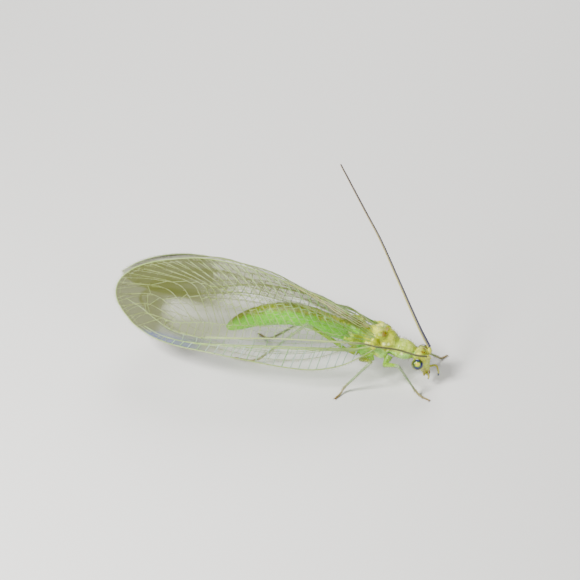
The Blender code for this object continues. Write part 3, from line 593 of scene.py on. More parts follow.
class Body:
    """The insect's soft forms as closed shells, with samples of their axes to tell which form is near."""

    def __init__(self):
        self.bm = bmesh.new()
        self.samples = []

    def ellipsoid(self, form, centre, radii, tilt=0.0):
        turn = (Matrix.Translation(centre) @ Matrix.Rotation(tilt, 4, "Y")
                @ Matrix.Diagonal((*radii, 1.0)))
        bmesh.ops.create_uvsphere(self.bm, u_segments=28, v_segments=18, radius=1, matrix=turn)
        self.samples.append((Vector(centre), sum(radii) / 3, form, 0.5, Vector((-1.0, 0.0, 0.0))))

    def loft(self, form, rings, upright=(0, 0, 1), sides=40):
        """Bridges ellipses into a closed shell: each ring is (centre, direction, width, height)."""
        loops = []
        for i, (centre, direction, half_width, half_height) in enumerate(rings):
            forward = Vector(direction).normalized()
            side = Vector(upright).cross(forward).normalized()
            up = forward.cross(side)
            turn = Matrix((side * half_width, up * half_height, forward)).transposed().to_4x4()
            turn.translation = centre
            made = bmesh.ops.create_circle(self.bm, cap_ends=i in (0, len(rings) - 1), segments=sides,
                                           radius=1, matrix=turn)
            loops.append({e for v in made["verts"] for e in v.link_edges})
            self.samples.append((Vector(centre), (half_width + half_height) / 2, form,
                                 i / (len(rings) - 1), forward))
        for one, other in zip(loops, loops[1:]):
            bmesh.ops.bridge_loops(self.bm, edges=[*one, *other])

    def rod(self, form, points, radii, count):
        """A tapered rod of round rings along a smooth curve."""
        path = evenly(points, count)
        marks = [i / (count - 1) for i in range(count)]
        widths = [value_along(radii, t) for t in marks]
        mesh = mesh_of_curve("rod", [(path, widths)], sides=12)
        self.bm.from_mesh(mesh)
        bpy.data.meshes.remove(mesh)
        for i, (place, width, t) in enumerate(zip(path, widths, marks)):
            ahead = path[min(i + 1, count - 1)] - path[max(i - 1, 0)]
            self.samples.append((place, width, form, t, ahead.normalized()))

    def index(self):
        """Readies the samples for a search by place."""
        self.tree = tree_of([sample[0] for sample in self.samples])

    def nearest(self, place):
        """The sample whose surface is nearest to a place."""
        found = self.tree.find_n(place, 10)
        best = min(found, key=lambda hit: hit[2] - self.samples[hit[1]][1])
        return self.samples[best[1]]


def middle_rings(stations):
    """Rings along the middle plane from (x, z, half width, half height) stations."""
    last = len(stations) - 1
    rings = []
    for i, (x, z, half_width, half_height) in enumerate(stations):
        before, after = stations[max(i - 1, 0)], stations[min(i + 1, last)]
        direction = (after[0] - before[0], 0, after[1] - before[1])
        rings.append((Vector((x, 0, z)), direction, half_width, half_height))
    return rings


def abdomen_stations(count):
    """Stations of the abdomen, swollen between the grooves of its segments."""
    stations = []
    for i in range(count):
        t = i / (count - 1)
        place = along([(x, 0, z) for x, z in ABDOMEN_PATH], t)
        swell = 1.0 - GROOVE_DEPTH * (1 - abs(math.sin(math.pi * SEGMENTS * t))) ** 3
        stations.append((place.x, place.z, value_along(ABDOMEN_HALF_WIDTH, t) * swell,
                         value_along(ABDOMEN_HALF_HEIGHT, t) * swell))
    return stations


def leg_paths(points):
    """The four paths of a leg, each running into the next, with the foot laid on the floor."""
    root, hip, knee, ankle, toe = (Vector(p) for p in points)
    bow = (knee - hip).cross(ankle - knee).normalized().cross(knee - hip).normalized() * 0.05
    foot = []
    for t, z in FOOT_PATH:
        place = ankle.lerp(toe, t)
        foot.append(Vector((place.x, place.y, z)))
    return {"coxa": [root, root.lerp(hip, 0.55), hip],
            "femur": [hip, hip.lerp(knee, 0.5) - bow, knee],
            "tibia": [knee, knee.lerp(ankle, 0.5), ankle.lerp(foot[0], 0.3)],
            "tarsus": [ankle.lerp(foot[0], 0.3), *foot]}


def model_body():
    """All soft forms of the insect as overlapping shells."""
    body = Body()
    body.loft("thorax", middle_rings(NECK_TO_WAIST))
    for side in (RIGHT, LEFT):
        for x, y, z, *radii in (SCUTUM_LOBE, FRONT_LOBE, REAR_LOBE, PLATE, REAR_PLATE):
            body.ellipsoid("thorax", (x, side * y, z), radii)
        for pair, (x, y, z) in (("fore", FORE_STALK), ("hind", HIND_STALK)):
            wing = Wing(pair, side)
            stalk = [(x, side * y, z)]
            stalk += [wing.point(wing.start + s, c) for s, c in ((0.06, 0.32), (0.5, 0.2))]
            body.rod("stalk", stalk, STALK_RADII, 9)
            for s, c, radius in KNUCKLES:
                body.ellipsoid("stalk", wing.point(wing.start + s, c), (radius * 1.3, radius, radius))
        body.rod("palp", PALPS[side], PALP_RADII, 13)
        for lobe in JAW_LOBES:
            body.rod("jaw", [(x, side * y, z) for x, y, z in lobe], JAW_RADII, 7)
        tip = (RAISED_FEELER if side == LEFT else SWEPT_FEELER)[0]
        body.rod("scape", [SCAPE_SOCKET[side], SCAPE_BASE[side], tip], SCAPE_RADII, 11)
    for x, y, z, *radii in (SCUTELLUM, REAR_SCUTELLUM):
        body.ellipsoid("thorax", (x, y, z), radii)
    body.loft("abdomen", middle_rings(abdomen_stations(90)))
    rings = [(Vector((x, 0, z)), (0, 0, -1), half_width, half_depth)
             for x, z, half_depth, half_width in HEAD_RINGS]
    body.loft("head", rings, upright=(1, 0, 0))
    for (pair, side), points in LEGS.items():
        paths = leg_paths(points)
        body.rod("coxa", paths["coxa"], COXA_RADII[pair], 9)
        body.rod("femur", paths["femur"], FEMUR_RADII, 16)
        body.rod("tibia", paths["tibia"], TIBIA_RADII, 16)
        body.rod("tarsus", paths["tarsus"], TARSUS_RADII, 21)
    return body


def marked(colour, place, marks):
    """The colour with the markings and painted highlights on both sides of the body over it, soft and
    ragged at their edges.
    """
    ragged = 0.35 * noise.noise(place * 9)
    for tint, x, y, z, radius, strength in marks:
        far = (Vector((place.x, abs(place.y), place.z)) - Vector((x, y, z))).length / radius
        colour = mix(colour, tint, strength * fade(far + ragged, 0.5, 1.25))
    return colour


def body_colour(form, t, place, normal):
    """The marking at a place of the skin, from the form it lies on, with painted highlights and shade."""
    wave = noise.noise(place * 2.3)
    if form == "abdomen":
        back = ramp(normal.z + 0.16 * wave + 0.22 * noise.noise(place * 7), 0.34, 0.70)
        colour = mix(LIME, mix(OLIVE, DEEP, 0.25), 0.95 * back)
        colour = mix(colour, DEEP, 0.5 * back * ramp(noise.noise(place * 5), 0.0, 0.4))
        fleck = ramp(noise.noise(place * 9), 0.25, 0.45) * ramp(place.x, -4.0, -2.2)
        colour = mix(colour, mix(YELLOW, CREAM, 0.4), 0.6 * back * fleck)
        colour = mix(colour, CREAM, 0.25 * ramp(-normal.z, 0.6, 0.95))
        groove = (1 - abs(math.sin(math.pi * SEGMENTS * t))) ** 4
        return mix(colour, CREAM, 0.22 * groove)
    if form in ("thorax", "stalk"):
        ahead = ramp(place.x, 1.0, 1.3)
        top = mix(YELLOW, CREAM, ramp(0.15 + wave + 0.2 * ahead, 0.0, 1.4))
        top = mix(top, OLIVE, 0.85 * ramp(noise.noise(place * 3.1) + 0.3 * noise.noise(place * 8),
                                                -0.02, 0.38) * (1 - 0.6 * ahead))
        top = mix(top, MINT, 0.22 * ahead)
        edge = 1.86 + 0.28 * ramp(place.x, 1.0, 0.4) - 0.06 * ahead
        low = ramp(edge - place.z, -0.10, 0.10)
        minty = ramp(wave + 0.5 * noise.noise(place * 6), -0.55, 0.05)
        flank = mix(mix(LEAF, CREAM, 0.3), MINT, minty)
        colour = mix(top, flank, low)
        # A thin painted shadow of the swept feeler along the edge between the top and the flanks
        feeler_shadow = 1 - ramp(abs(place.z - edge), 0.01, 0.05)
        colour = mix(colour, mix(OLIVE, RUST, 0.3), 0.5 * feeler_shadow * ramp(place.x, 0.2, 0.6))
        side_on = ramp(abs(normal.y) - 0.6 * normal.z, 0.0, 0.6)
        rear = ramp(-place.x, 0.0, 0.5)
        behind = mix(mix(LIME, OLIVE, 0.5), mix(LIME, LEAF, 0.3), side_on)
        colour = mix(colour, behind, 0.8 * rear)
        colour = marked(colour, place, THORAX_MARKS)
        return mix(colour, mix(YELLOW, CREAM, 0.5 + wave), 0.6) if form == "stalk" else colour
    if form == "head":
        crown = ramp(place.z, 1.45, 1.85)
        colour = mix(mix(CREAM, MINT, 0.25), YELLOW, 0.20 + 0.55 * crown)
        return marked(colour, place, HEAD_MARKS)
    if form == "jaw":
        return mix(CREAM, TAN, 0.35 + 0.6 * t)
    if form == "scape":
        return mix(CREAM, YELLOW, 0.4)
    if form == "palp":
        return mix(mix(CREAM, TAN, 0.45), PALP_TIP, ramp(t, 0.84, 0.92))
    if form == "coxa":
        # Coxae darker olive towards the rear: painted shade under the wings
        return mix(LEAF, OLIVE, 0.35 + 0.5 * ramp(0.2 - place.x, 0.0, 0.5))
    if form == "femur":
        # Femurs under the middle of the body, the mid legs', are darker olive with less of the pale knee:
        # painted shade under the wings
        rear = ramp(0.9 - place.x, 0.0, 0.4) * ramp(place.x, -1.0, -0.5)
        return mix(mix(mix(LEAF, OLIVE, 0.45), mix(OLIVE, DEEP, 0.3), rear), PALE_SHIN,
                   ramp(t, 0.75, 1.0) * (1 - 0.6 * rear))
    if form == "tibia":
        return mix(PALE_SHIN, mix(PALE_SHIN, TAN, 0.5), ramp(t, 0.7, 1.0))
    return mix(mix(PALE_SHIN, TAN, 0.6), TAN, t)


def relief(form, t, place):
    """How far the skin stands out of its form, for its fine folds."""
    if form == "thorax" and place.x > 1.15:
        fold = math.sin(place.x * 52 + 5 * noise.noise(place * 3))
        return (0.004 * fold + 0.012 * noise.noise(place * 4)) * ramp(place.z, 1.5, 1.8)
    if form == "abdomen":
        return 0.014 * noise.noise(place * 5)
    if form in ("thorax", "stalk"):
        return 0.026 * noise.noise(place * 4.5) + 0.012 * noise.noise(place * 11)
    if form == "head":
        return 0.010 * noise.noise(place * 6)
    return 0.0


class LACEWING_OT_skin(bpy.types.Operator):
    """Model one skin over the head, thorax, abdomen and legs, with its markings, painted highlights and
    painted shade
    """

    bl_idname = "lacewing.skin"
    bl_label = "Skin"

    def execute(self, context):
        body = model_body()
        mesh = mesh_of(body.bm, "skin")
        holder = placed("skin", mesh)
        melt = holder.modifiers.new("one surface", "REMESH")
        melt.mode = "VOXEL"
        melt.voxel_size = settings().skin_detail / MM
        soften = holder.modifiers.new("soften", "SMOOTH")
        soften.factor = 0.5
        soften.iterations = 4
        seen = context.evaluated_depsgraph_get()
        skin = bpy.data.meshes.new_from_object(holder.evaluated_get(seen))
        bpy.data.objects.remove(holder)
        bpy.data.meshes.remove(mesh)
        body.index()
        normals = [n.vector.copy() for n in skin.vertex_normals]
        colours = []
        places = []
        for vertex, normal in zip(skin.vertices, normals):
            centre, radius, form, t, ahead = body.nearest(vertex.co)
            colours.append(body_colour(form, t, vertex.co, normal))
            places.append(vertex.co + normal * relief(form, t, vertex.co))
        for vertex, place in zip(skin.vertices, places):
            vertex.co = (place.x, place.y, max(place.z, 0.0))
        paint(skin, "tint", colours)
        flesh = ["head", "mouthparts", "prothorax", "mesothorax", "metathorax",
                 "abdomen_front", "abdomen_middle", "abdomen_rear"]
        for side in SIDE_NAMES.values():
            flesh += ["palp_" + side, f"antenna_{side}_scape"]
            flesh += [f"{pair}leg_{side}_{part}" for pair in ("fore", "mid", "hind") for part in LEG_PARTS]
        finish_piece("skin", skin, skin_material(), flesh)
        return {"FINISHED"}


def eye_material():
    """A faceted, glossy dome with its gold centre, dark ring and olive rim painted on."""
    material, tree, shader = shaders("eye")
    place = millimetre_coordinates(tree)
    facets = tree.nodes.new("ShaderNodeTexVoronoi")
    preset(facets, {"Scale": 34.0, "Randomness": 0.35})
    tree.links.new(place, facets.inputs["Vector"])
    dome = ranged(tree, facets.outputs["Distance"], 0.0, 0.6, 1.0, 0.0)
    bumped(tree, shader, dome, 0.5, 0.008)
    tree.links.new(colour_attribute(tree, "tint"), shader.inputs["Base Color"])
    preset(shader, {"Roughness": 0.14, "Metallic": 0.15, "Coat Weight": 0.3, "Coat Roughness": 0.06})
    return material


class LACEWING_OT_eyes(bpy.types.Operator):
    """Model the two domed eyes with their gold centres and dark rings"""

    bl_idname = "lacewing.eyes"
    bl_label = "Eyes"

    def execute(self, context):
        material = eye_material()
        for side, name in SIDE_NAMES.items():
            low, high = (Vector(corner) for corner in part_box("eye_" + name))
            centre = (low + high) / 2 / MM - CENTRE_SHIFT
            radii = (high - low) / 2 / MM * 0.98
            bm = bmesh.new()
            turn = Matrix.Translation(centre) @ Matrix.Diagonal((*radii, 1.0))
            bmesh.ops.create_icosphere(bm, subdivisions=6, radius=1, matrix=turn)
            mesh = mesh_of(bm, "eye_dome_" + name)
            gaze = mirrored(GAZE, side)
            colours = []
            for vertex in mesh.vertices:
                out = (vertex.co - centre)
                out = Vector((out.x / radii.x, out.y / radii.y, out.z / radii.z)).normalized()
                turned = math.degrees(out.angle(gaze)) + 5 * noise.noise(out * 3)
                about = math.atan2(out.z - gaze.z, out.x - gaze.x)
                patches = max(math.cos(about - place) for place in EYE_PATCHES)
                ring = mix(EYE_DARK, EYE_NAVY, ramp(patches + 0.2 * noise.noise(out * 4), 0.72, 0.95))
                colour = mix(EYE_GOLD, EYE_GREEN, ramp(turned, 16, 24))
                colour = mix(colour, ring, ramp(turned, 25, 34))
                colour = mix(colour, EYE_RIM, ramp(turned, 50, 66))
                colours.append(mix(colour, EYE_DARK, ramp(turned, 80, 95)))
            paint(mesh, "tint", colours)
            finish_piece("eye_dome_" + name, mesh, material, ["eye_" + name])
        return {"FINISHED"}


def wing_axes():
    """Along, across and outward directions of the right forewing."""
    right, out = facing(WING_AZIMUTH, WING_ELEVATION)
    up = out.cross(right)
    along_wing = up * math.sin(WING_PITCH) - right * math.cos(WING_PITCH)
    across = up * math.cos(WING_PITCH) + right * math.sin(WING_PITCH)
    return along_wing, across, out


ALONG_WING, ACROSS_WING, WING_OUT = wing_axes()


def ridge_line(s):
    """Where the two folded wings meet over the back, as a distance across at distance s along."""
    if s < 7.9:
        return 2.66 - 0.0448 * (7.9 - s) ** 1.773
    return 2.66 - 0.0639 * (s - 7.9) ** 2.076


def wing_point(s, c, inset=0.0):
    """A point of the right wing roof, at distance s along and c across, lying inset below its middle."""
    flat = Vector(WING_ROOT) + ALONG_WING * s + ACROSS_WING * c
    top = WING_ROOT[1] + ALONG_WING.y * s + ACROSS_WING.y * ridge_line(s)
    lift = (top + ROOF_GAP_HALF) / -WING_OUT.y
    steeper = ROOF_STEEPER + TIP_STEEPER * ramp(s, 6.0, 12.0)
    lift += steeper * (ridge_line(s) - c)
    lift *= ramp(s, 0.0, 1.5)
    lift -= (RIDGE_TUCK * ramp(s, 1.2, 2.6) * fade(s, 3.0, 6.0)
             * ramp(c, ridge_line(s) - 1.7, ridge_line(s)))
    lift -= (ROOF_HOLLOW * ramp(s, 3.3, 5.2) * fade(s, 5.6, 8.8)
             * ramp(c, -1.1, 0.2) * fade(c, ridge_line(s) - 1.6, ridge_line(s) - 0.1))
    bulge = ROOF_BULGE * (1 - ((c - 0.45) / 2.15) ** 2)
    bulge *= ramp(s, 0.0, 1.8) * (1 - 0.8 * ramp(s, 8.0, 12.5))
    return flat + WING_OUT * (lift + bulge - inset)


class Wing:
    """One wing's outline and veins, with the place of any point of it."""

    def __init__(self, pair, side):
        self.side = side
        self.name = f"{pair}wing_{SIDE_NAMES[side]}"
        self.is_fore = pair == "fore"
        self.costa, self.hind, self.bow, self.inset, self.thick, self.drop = EDGES[pair]
        self.radius_vein, self.sector, self.zigzag, self.middle, self.upper = LONG_VEINS[pair]
        self.start, self.end = self.costa[0][0], self.costa[-1][0]

    def point(self, s, c, lift=0.0):
        """The place of (s, c): near the solid wing's outer face, near its inner one at the hind edge."""
        a = (s - self.start) / (self.end - self.start)
        deep = self.inset[0] + (self.inset[1] - self.inset[0]) * ramp(a, 0.0, 0.2)
        deep += (self.inset[2] - self.inset[1]) * ramp(a, 0.6, 1.0)
        low, high = height_at(self.costa, s), height_at(self.hind, s)
        half = 0.5 * (self.thick[0] + (self.thick[1] - self.thick[0]) * ramp(a, 0.3, 1.0))
        inner = ramp((c - low) / (high - low), *FILM_CROSSES[self.side])
        deep -= FILM_SINK * half * (1 - 2 * inner)
        deep += self.drop * fade(s, 0.0, 3.2)
        ridge = ridge_line(s)
        if self.side == LEFT:
            deep += FILM_TUCK * ramp(s, 0.8, 2.0) * ramp(c, ridge - 1.9, ridge)
            deep += (FILM_HOLLOW[self.is_fore] * ramp(s, 0.7, 2.6) * fade(s, 3.4, 5.4)
                     * ramp(c, -1.1, 0.2) * fade(c, ridge - 1.6, ridge - 0.1))
        return mirrored(wing_point(s, c, deep - lift), self.side)

    def outline(self, a, t):
        """(s, c) at fraction a along and t across, with the tip bowed out."""
        s = self.start + (self.end - self.start) * a
        low, high = height_at(self.costa, s), height_at(self.hind, s)
        return s + self.bow * a ** 6 * 4 * t * (1 - t), low + (high - low) * t

    def rim(self, count):
        """(s, c) round the edge from the hind root by the tip to the front root."""
        steps = [(a / count, 1.0) for a in range(count)]
        steps += [(1.0, 1 - t / (count // 4)) for t in range(count // 4)]
        steps += [(1 - a / count, 0.0) for a in range(count + 1)]
        return [self.outline(a, t) for a, t in steps]


def all_wings():
    """The four wings."""
    return [Wing(pair, side) for pair in ("fore", "hind") for side in (RIGHT, LEFT)]


def rim_place(rim, length, share):
    """The (s, c) at a share of the way round a rim of known running lengths."""
    want = share * length[-1]
    i = 0
    while i < len(length) - 2 and length[i + 1] < want:
        i += 1
    u = (want - length[i]) / (length[i + 1] - length[i])
    return tuple(a + (b - a) * u for a, b in zip(rim[i], rim[i + 1]))


def curve_line(points, count):
    """A smooth run of (s, c) through (s, c) points."""
    return [tuple(p[:2]) for p in evenly([(*q, 0.0) for q in points], count)]


class Veins:
    """Collects a wing's veins as runs of (s, c) with a radius at each end."""

    def __init__(self, wing):
        self.wing = wing
        self.lines = []

    def add(self, points, first, last, tint=None):
        """A vein from first to last radius, greener near the root and paler towards the tip."""
        s = sum(p[0] for p in points) / len(points)
        shade = mix(ROOT_VEIN, settings().vein_colour, ramp(s, 2.5, 6.5))
        self.lines.append((points, first, last, tint or mix(shade, TIP_VEIN, ramp(s, 7.0, 9.5))))

    def between(self, low, high, start, end, step, lean, radius, jitter=0.0, seed=1, glint=0.0):
        """Crossveins from one long vein to another, leaning so far towards the tip at the low end."""
        rng = random.Random(seed)
        s = start
        while s < end:
            shift = rng.uniform(-jitter, jitter)
            top = s + shift
            bottom = s + shift + lean
            a = (top, height_at(high, top))
            b = (bottom, height_at(low, bottom))
            middle = ((a[0] + b[0]) / 2 + 0.03 * lean, (a[1] + b[1]) / 2)
            shine = mix(ROOT_VEIN, GLINT_VEIN, glint * rng.uniform(0.2, 1.0)) if glint else None
            self.add([a, middle, b], radius, radius, shine)
            s += step * rng.uniform(0.92, 1.08)


def model_veins(wing, size):
    """The wing's net of veins, worked out from its named long veins and its outline."""
    net = Veins(wing)
    count = 120
    rim = wing.rim(count)
    length = [0.0]
    for one, other in zip(rim, rim[1:]):
        length.append(length[-1] + math.dist(one, other))
    net.add(rim, 0.020 * size, 0.026 * size)
    start, end = wing.start, wing.end
    span = end - start
    thick = 0.044 if wing.is_fore else 0.030
    net.add(curve_line(wing.radius_vein, 60), thick * size, 0.014 * size)
    beside = [(s, c - 0.085 * fade(s, start + 0.55 * span, start + 0.8 * span))
              for s, c in wing.radius_vein[1:-1]]
    net.add(curve_line(beside, 50), 0.030 * size, 0.012 * size)
    net.add(curve_line(wing.sector, 60), 0.026 * size, 0.010 * size)
    for gap, reach in FOLD_LINES if wing.is_fore else ():
        strip = []
        for i in range(40):
            s = 0.45 + (reach - 0.45) * i / 39
            apart = gap * ramp(s, 0.2, 1.0) * fade(s, reach - 1.6, reach)
            strip.append((s, height_at(wing.hind, s) - apart))
        net.add(strip, 0.014 * size, 0.015 * size, FOLD_VEIN)
    cost_step, row_step = (0.40, 0.68) if wing.is_fore else (0.36, 0.60)
    fine = 0.0135 * size
    net.between(wing.costa, wing.radius_vein, start + 0.75, start + 0.80 * span, cost_step, 0.17,
                1.7 * fine, 0.03, seed=3, glint=0.9)
    net.between(wing.costa, wing.radius_vein, start + 0.81 * span, start + 0.90 * span, 0.22, 0.16,
                0.008 * size, 0.01, seed=4)
    net.between(wing.radius_vein, wing.sector, start + 1.5, start + 0.80 * span, row_step, 0.03,
                1.2 * fine, 0.03, seed=5, glint=0.7)

    # Long branches: start on the zigzag vein, lean out over the middle and upper rows, fork at the rim
    branches = []
    total = VEIN_BRANCHES[wing.is_fore]
    for k in range(total):
        f = k / (total - 1)
        s0 = start + span * (0.13 + 0.72 * f)
        c0 = height_at(wing.zigzag, s0)
        share = 0.115 + 0.43 * f ** 1.12 + 0.03 * f
        end_place = rim_place(rim, length, share)
        s_mid = s0 + 0.42 + 0.30 * f
        s_up = s_mid + 0.30 + 0.65 * f * f
        mid = (s_mid, min(height_at(wing.middle, s_mid), end_place[1] - 0.15 if f < 0.8 else 9))
        up = (s_up, height_at(wing.upper, s_up))
        if f > 0.72:
            gap = (f - 0.72) / 0.28
            mid = mix(mid, mix((s0, c0), end_place, 0.30), gap)
            up = mix(up, mix((s0, c0), end_place, 0.62), gap)
        run = curve_line([(s0, c0), mid, up, end_place], 26)
        branches.append(run)
        net.add(run, fine * 1.1, 0.009 * size)
        for part, first in ((0.33, 20), (0.62, 16)):
            next_share = 0.115 + 0.43 * min(f + part / (total - 1), 1.0) ** 1.12 + 0.03 * f
            fork_end = rim_place(rim, length, next_share)
            begin = first if f < 0.7 else first - 3
            fork = curve_line([run[begin], mix(run[begin + 3], fork_end, 0.35), fork_end], 12)
            net.add(fork, 0.010 * size, 0.008 * size)

    def crossing(run, line):
        """Where along a branch it meets a long vein's curve."""
        return min(range(len(run)), key=lambda i: abs(run[i][1] - height_at(line, run[i][0])))

    for line, reach in ((wing.middle, 0.92), (wing.upper, 0.96)):
        stops = [crossing(run, line) for run in branches]
        for k in range(len(branches) - 1):
            if k > reach * len(branches):
                break
            one, other = branches[k], branches[k + 1]
            net.add([one[stops[k]], other[max(stops[k + 1] - 1, 0)]], fine, fine)
    heads = [run[0] for run in branches]
    zig = [heads[0]]
    for k, (one, other) in enumerate(zip(heads, heads[1:])):
        middle = mix(one, other, 0.5)
        zig += [(middle[0], middle[1] - 0.05), other]
        below = (middle[0] + 0.02, height_at(wing.sector, middle[0] + 0.02))
        if middle[1] - below[1] > 0.12:
            net.add([(middle[0], middle[1] - 0.05), below], fine, fine)
    net.add(curve_line([(start, height_at(wing.zigzag, start)), heads[0]], 6), 0.018 * size, 0.016 * size)
    net.add(zig, 0.016 * size, 0.011 * size)

    # Veins of the root: the two long rows and the hind edge's folds run back to the stalk
    for line in (wing.middle, wing.upper):
        first = min(branches[1], key=lambda p: abs(p[1] - height_at(line, p[0])))
        root = (start, height_at(line, start))
        net.add(curve_line([root, mix(root, first, 0.5), first], 12), 0.018 * size, 0.014 * size)
    for share, rise in ((0.075, 0.10), (0.105, 0.0)):
        goal = rim_place(rim, length, share)
        root = (start + 0.02, height_at(wing.upper, start) + rise)
        half = mix(root, goal, 0.55)
        net.add(curve_line([root, (half[0], half[1] - 0.06), goal], 14), 0.016 * size, 0.010 * size)

    # A fine second line runs inside the rim from the hind edge round the tip
    inner = []
    middle = (start + 0.6 * span, 0.4)
    for i in range(90):
        share = 0.16 + 0.46 * i / 89
        place = rim_place(rim, length, share)
        toward = (Vector(middle) - Vector(place))
        if place[0] < middle[0]:
            toward = Vector((0, middle[1] - place[1]))
        inward = Vector(place) + toward.normalized() * 0.20 * ramp(i, 0, 12)
        inner.append(tuple(inward))
    net.add(inner, 0.007 * size, 0.008 * size)
    return net


def vein_splines(net):
    """The tubes of a net of veins, resampled along the curved wing."""
    splines = []
    for points, first, last, tint in net.lines:
        path = []
        for one, other in zip(points, points[1:]):
            steps = max(1, round(math.dist(one, other) / VEIN_STEP))
            path += [mix(one, other, i / steps) for i in range(steps)]
        path.append(points[-1])
        places = [net.wing.point(s, c) for s, c in path]
        radii = [first + (last - first) * i / (len(path) - 1) for i in range(len(path))]
        splines.append((places, radii))
    return splines


def vein_material():
    """Pale, slightly glossy tubes, green at the root, with finer mottling."""
    material, tree, shader = shaders("vein")
    place = millimetre_coordinates(tree)
    grain = ranged(tree, noise_value(tree, place, 6.0), 0.35, 0.65, 0.0, 1.0)
    tint = colour_attribute(tree, "tint")
    shade = mixed_colour(tree, 1.0, tint, (0.74, 0.80, 0.62), "MULTIPLY")
    tree.links.new(mixed_colour(tree, grain, tint, shade), shader.inputs["Base Color"])
    preset(shader, {"Roughness": 0.32, "Specular IOR Level": 0.6})
    return material


def membrane_material():
    """A clear film, hazy olive in part with painted sheen, and a faint painted play of colours."""
    material, tree, shader = shaders("membrane")
    tree.links.new(colour_attribute(tree, "tint"), shader.inputs["Base Color"])
    haze_and_sheen = tree.nodes.new("ShaderNodeAttribute")
    haze_and_sheen.attribute_name = "haze_and_sheen"
    tree.links.new(haze_and_sheen.outputs["Fac"], shader.inputs["Alpha"])
    place = millimetre_coordinates(tree)
    bumped(tree, shader, noise_value(tree, place, 7.0, 2.0), 0.35, 0.03)
    preset(shader, {"Roughness": 0.5, "Specular IOR Level": 0.12})
    return material


def membrane_look(wing, s, c):
    """The film's colour and opacity at a place of the wing: clear near the root, hazy beyond and behind,
    the haziness partly painted sheen.
    """
    if not wing.is_fore:
        s, c = s * 1.08, c * 1.1
    wave = noise.noise(Vector((s * 1.3, c * 1.3, 0.0)))
    # Olive haziness over the outer half, the tip and behind, partly painted sheen
    outer = ramp(s + 0.5 * wave, 5.8, 8.8) * (0.40 + 0.60 * ramp(c, -0.1, 0.7))
    tip = ramp(s + 0.4 * wave, 8.8, 10.4)
    behind = ramp(c + 0.2 * wave, 1.30, 1.9) * ramp(s, 2.5, 5.0)
    clear_cells = (ramp(abs(c + 0.15 * wave - 0.08), 0.62, 0.10)
                   * ramp(s, 6.8, 7.4) * fade(s, 9.6, 10.4))
    haze_and_sheen = max(outer, tip, 0.75 * behind) * (1 - 0.50 * clear_cells)
    edge = height_at(wing.hind, s)
    folds = ramp(c, edge - 0.52, edge - 0.38) * ramp(s, 0.4, 1.0) * fade(s, 4.5, 6.5)
    haze_and_sheen = max(haze_and_sheen, 0.80 * folds)
    colour = mix(CLEAR_FILM, OLIVE_HAZE_AND_SHEEN, haze_and_sheen)
    # The far wing shows less of the painted sheen, and more of it by its hind edge
    if wing.side == LEFT:
        haze_and_sheen *= FAR_HAZE_AND_SHEEN[0] + FAR_HAZE_AND_SHEEN[1] * ramp(c, edge - 0.50, edge - 0.25)
    alpha = 0.05 + FILM_HAZE_AND_SHEEN * haze_and_sheen
    # Painted blue and teal sheen along the front edge towards the tip
    front_edge = ramp(-c, 1.15, 1.45) * ramp(s, 7.4, 8.8) * fade(s, 10.4, 11.6)
    colour = mix(colour, mix(BLUE_SHEEN, TEAL_SHEEN, ramp(wave, -0.3, 0.4)), 0.85 * front_edge)
    alpha += 0.40 * front_edge * (1 - haze_and_sheen)
    # Painted blue sheen between the radius vein and its sector
    low, high = height_at(FORE_RADIUS_VEIN, s), height_at(FORE_SECTOR, s)
    between = ramp(c, low, low + 0.05) * fade(c, high - 0.05, high)
    colour = mix(colour, BLUE_SHEEN, 0.5 * between * (1 - haze_and_sheen))
    alpha += 0.14 * between * ramp(s, 2.0, 4.0) * (1 - haze_and_sheen)
    return colour, alpha * (1.0 if wing.is_fore else HIND_FILM_SHARE)


class LACEWING_OT_wings(bpy.types.Operator):
    """Model the four wings: a film each, and a net of veins"""

    bl_idname = "lacewing.wings"
    bl_label = "Wings"

    def execute(self, context):
        film = membrane_material()
        tube = vein_material()
        for wing in all_wings():
            size = settings().vein_size * PAIR_VEIN_SHARE[wing.is_fore] * VEIN_SHARE[wing.side]
            bm = bmesh.new()
            bmesh.ops.create_grid(bm, x_segments=FILM_GRID[0], y_segments=FILM_GRID[1], size=0.5)
            looks = []
            for v in bm.verts:
                s, c = wing.outline(v.co.x + 0.5, v.co.y + 0.5)
                flute = FLUTE * math.sin(c * 14 + s * 2.0)
                looks.append(membrane_look(wing, s, c))
                v.co = wing.point(s, c, flute)
            mesh = mesh_of(bm, wing.name + "_film")
            paint(mesh, "tint", [look[0] for look in looks])
            haze_and_sheen = mesh.attributes.new("haze_and_sheen", "FLOAT", "POINT")
            haze_and_sheen.data.foreach_set("value", [look[1] for look in looks])
            if wing.side == LEFT:
                mesh.flip_normals()
            finish_piece(wing.name + "_film", mesh, film, [wing.name])
            net = model_veins(wing, size)
            veins = mesh_of_curve(wing.name + "_veins", vein_splines(net), 6,
                                  [line[3] for line in net.lines])
            finish_piece(wing.name + "_veins", veins, tube)
        return {"FINISHED"}


def feeler_path(side):
    """The path of a feeler's thread."""
    if side == LEFT:
        return [Vector(p) for p in RAISED_FEELER]
    points = [Vector(p) for p in SWEPT_FEELER]
    return points + [wing_point(s, c, -FEELER_CLEARANCE) for s, c in SWEPT_ALONG_WING]


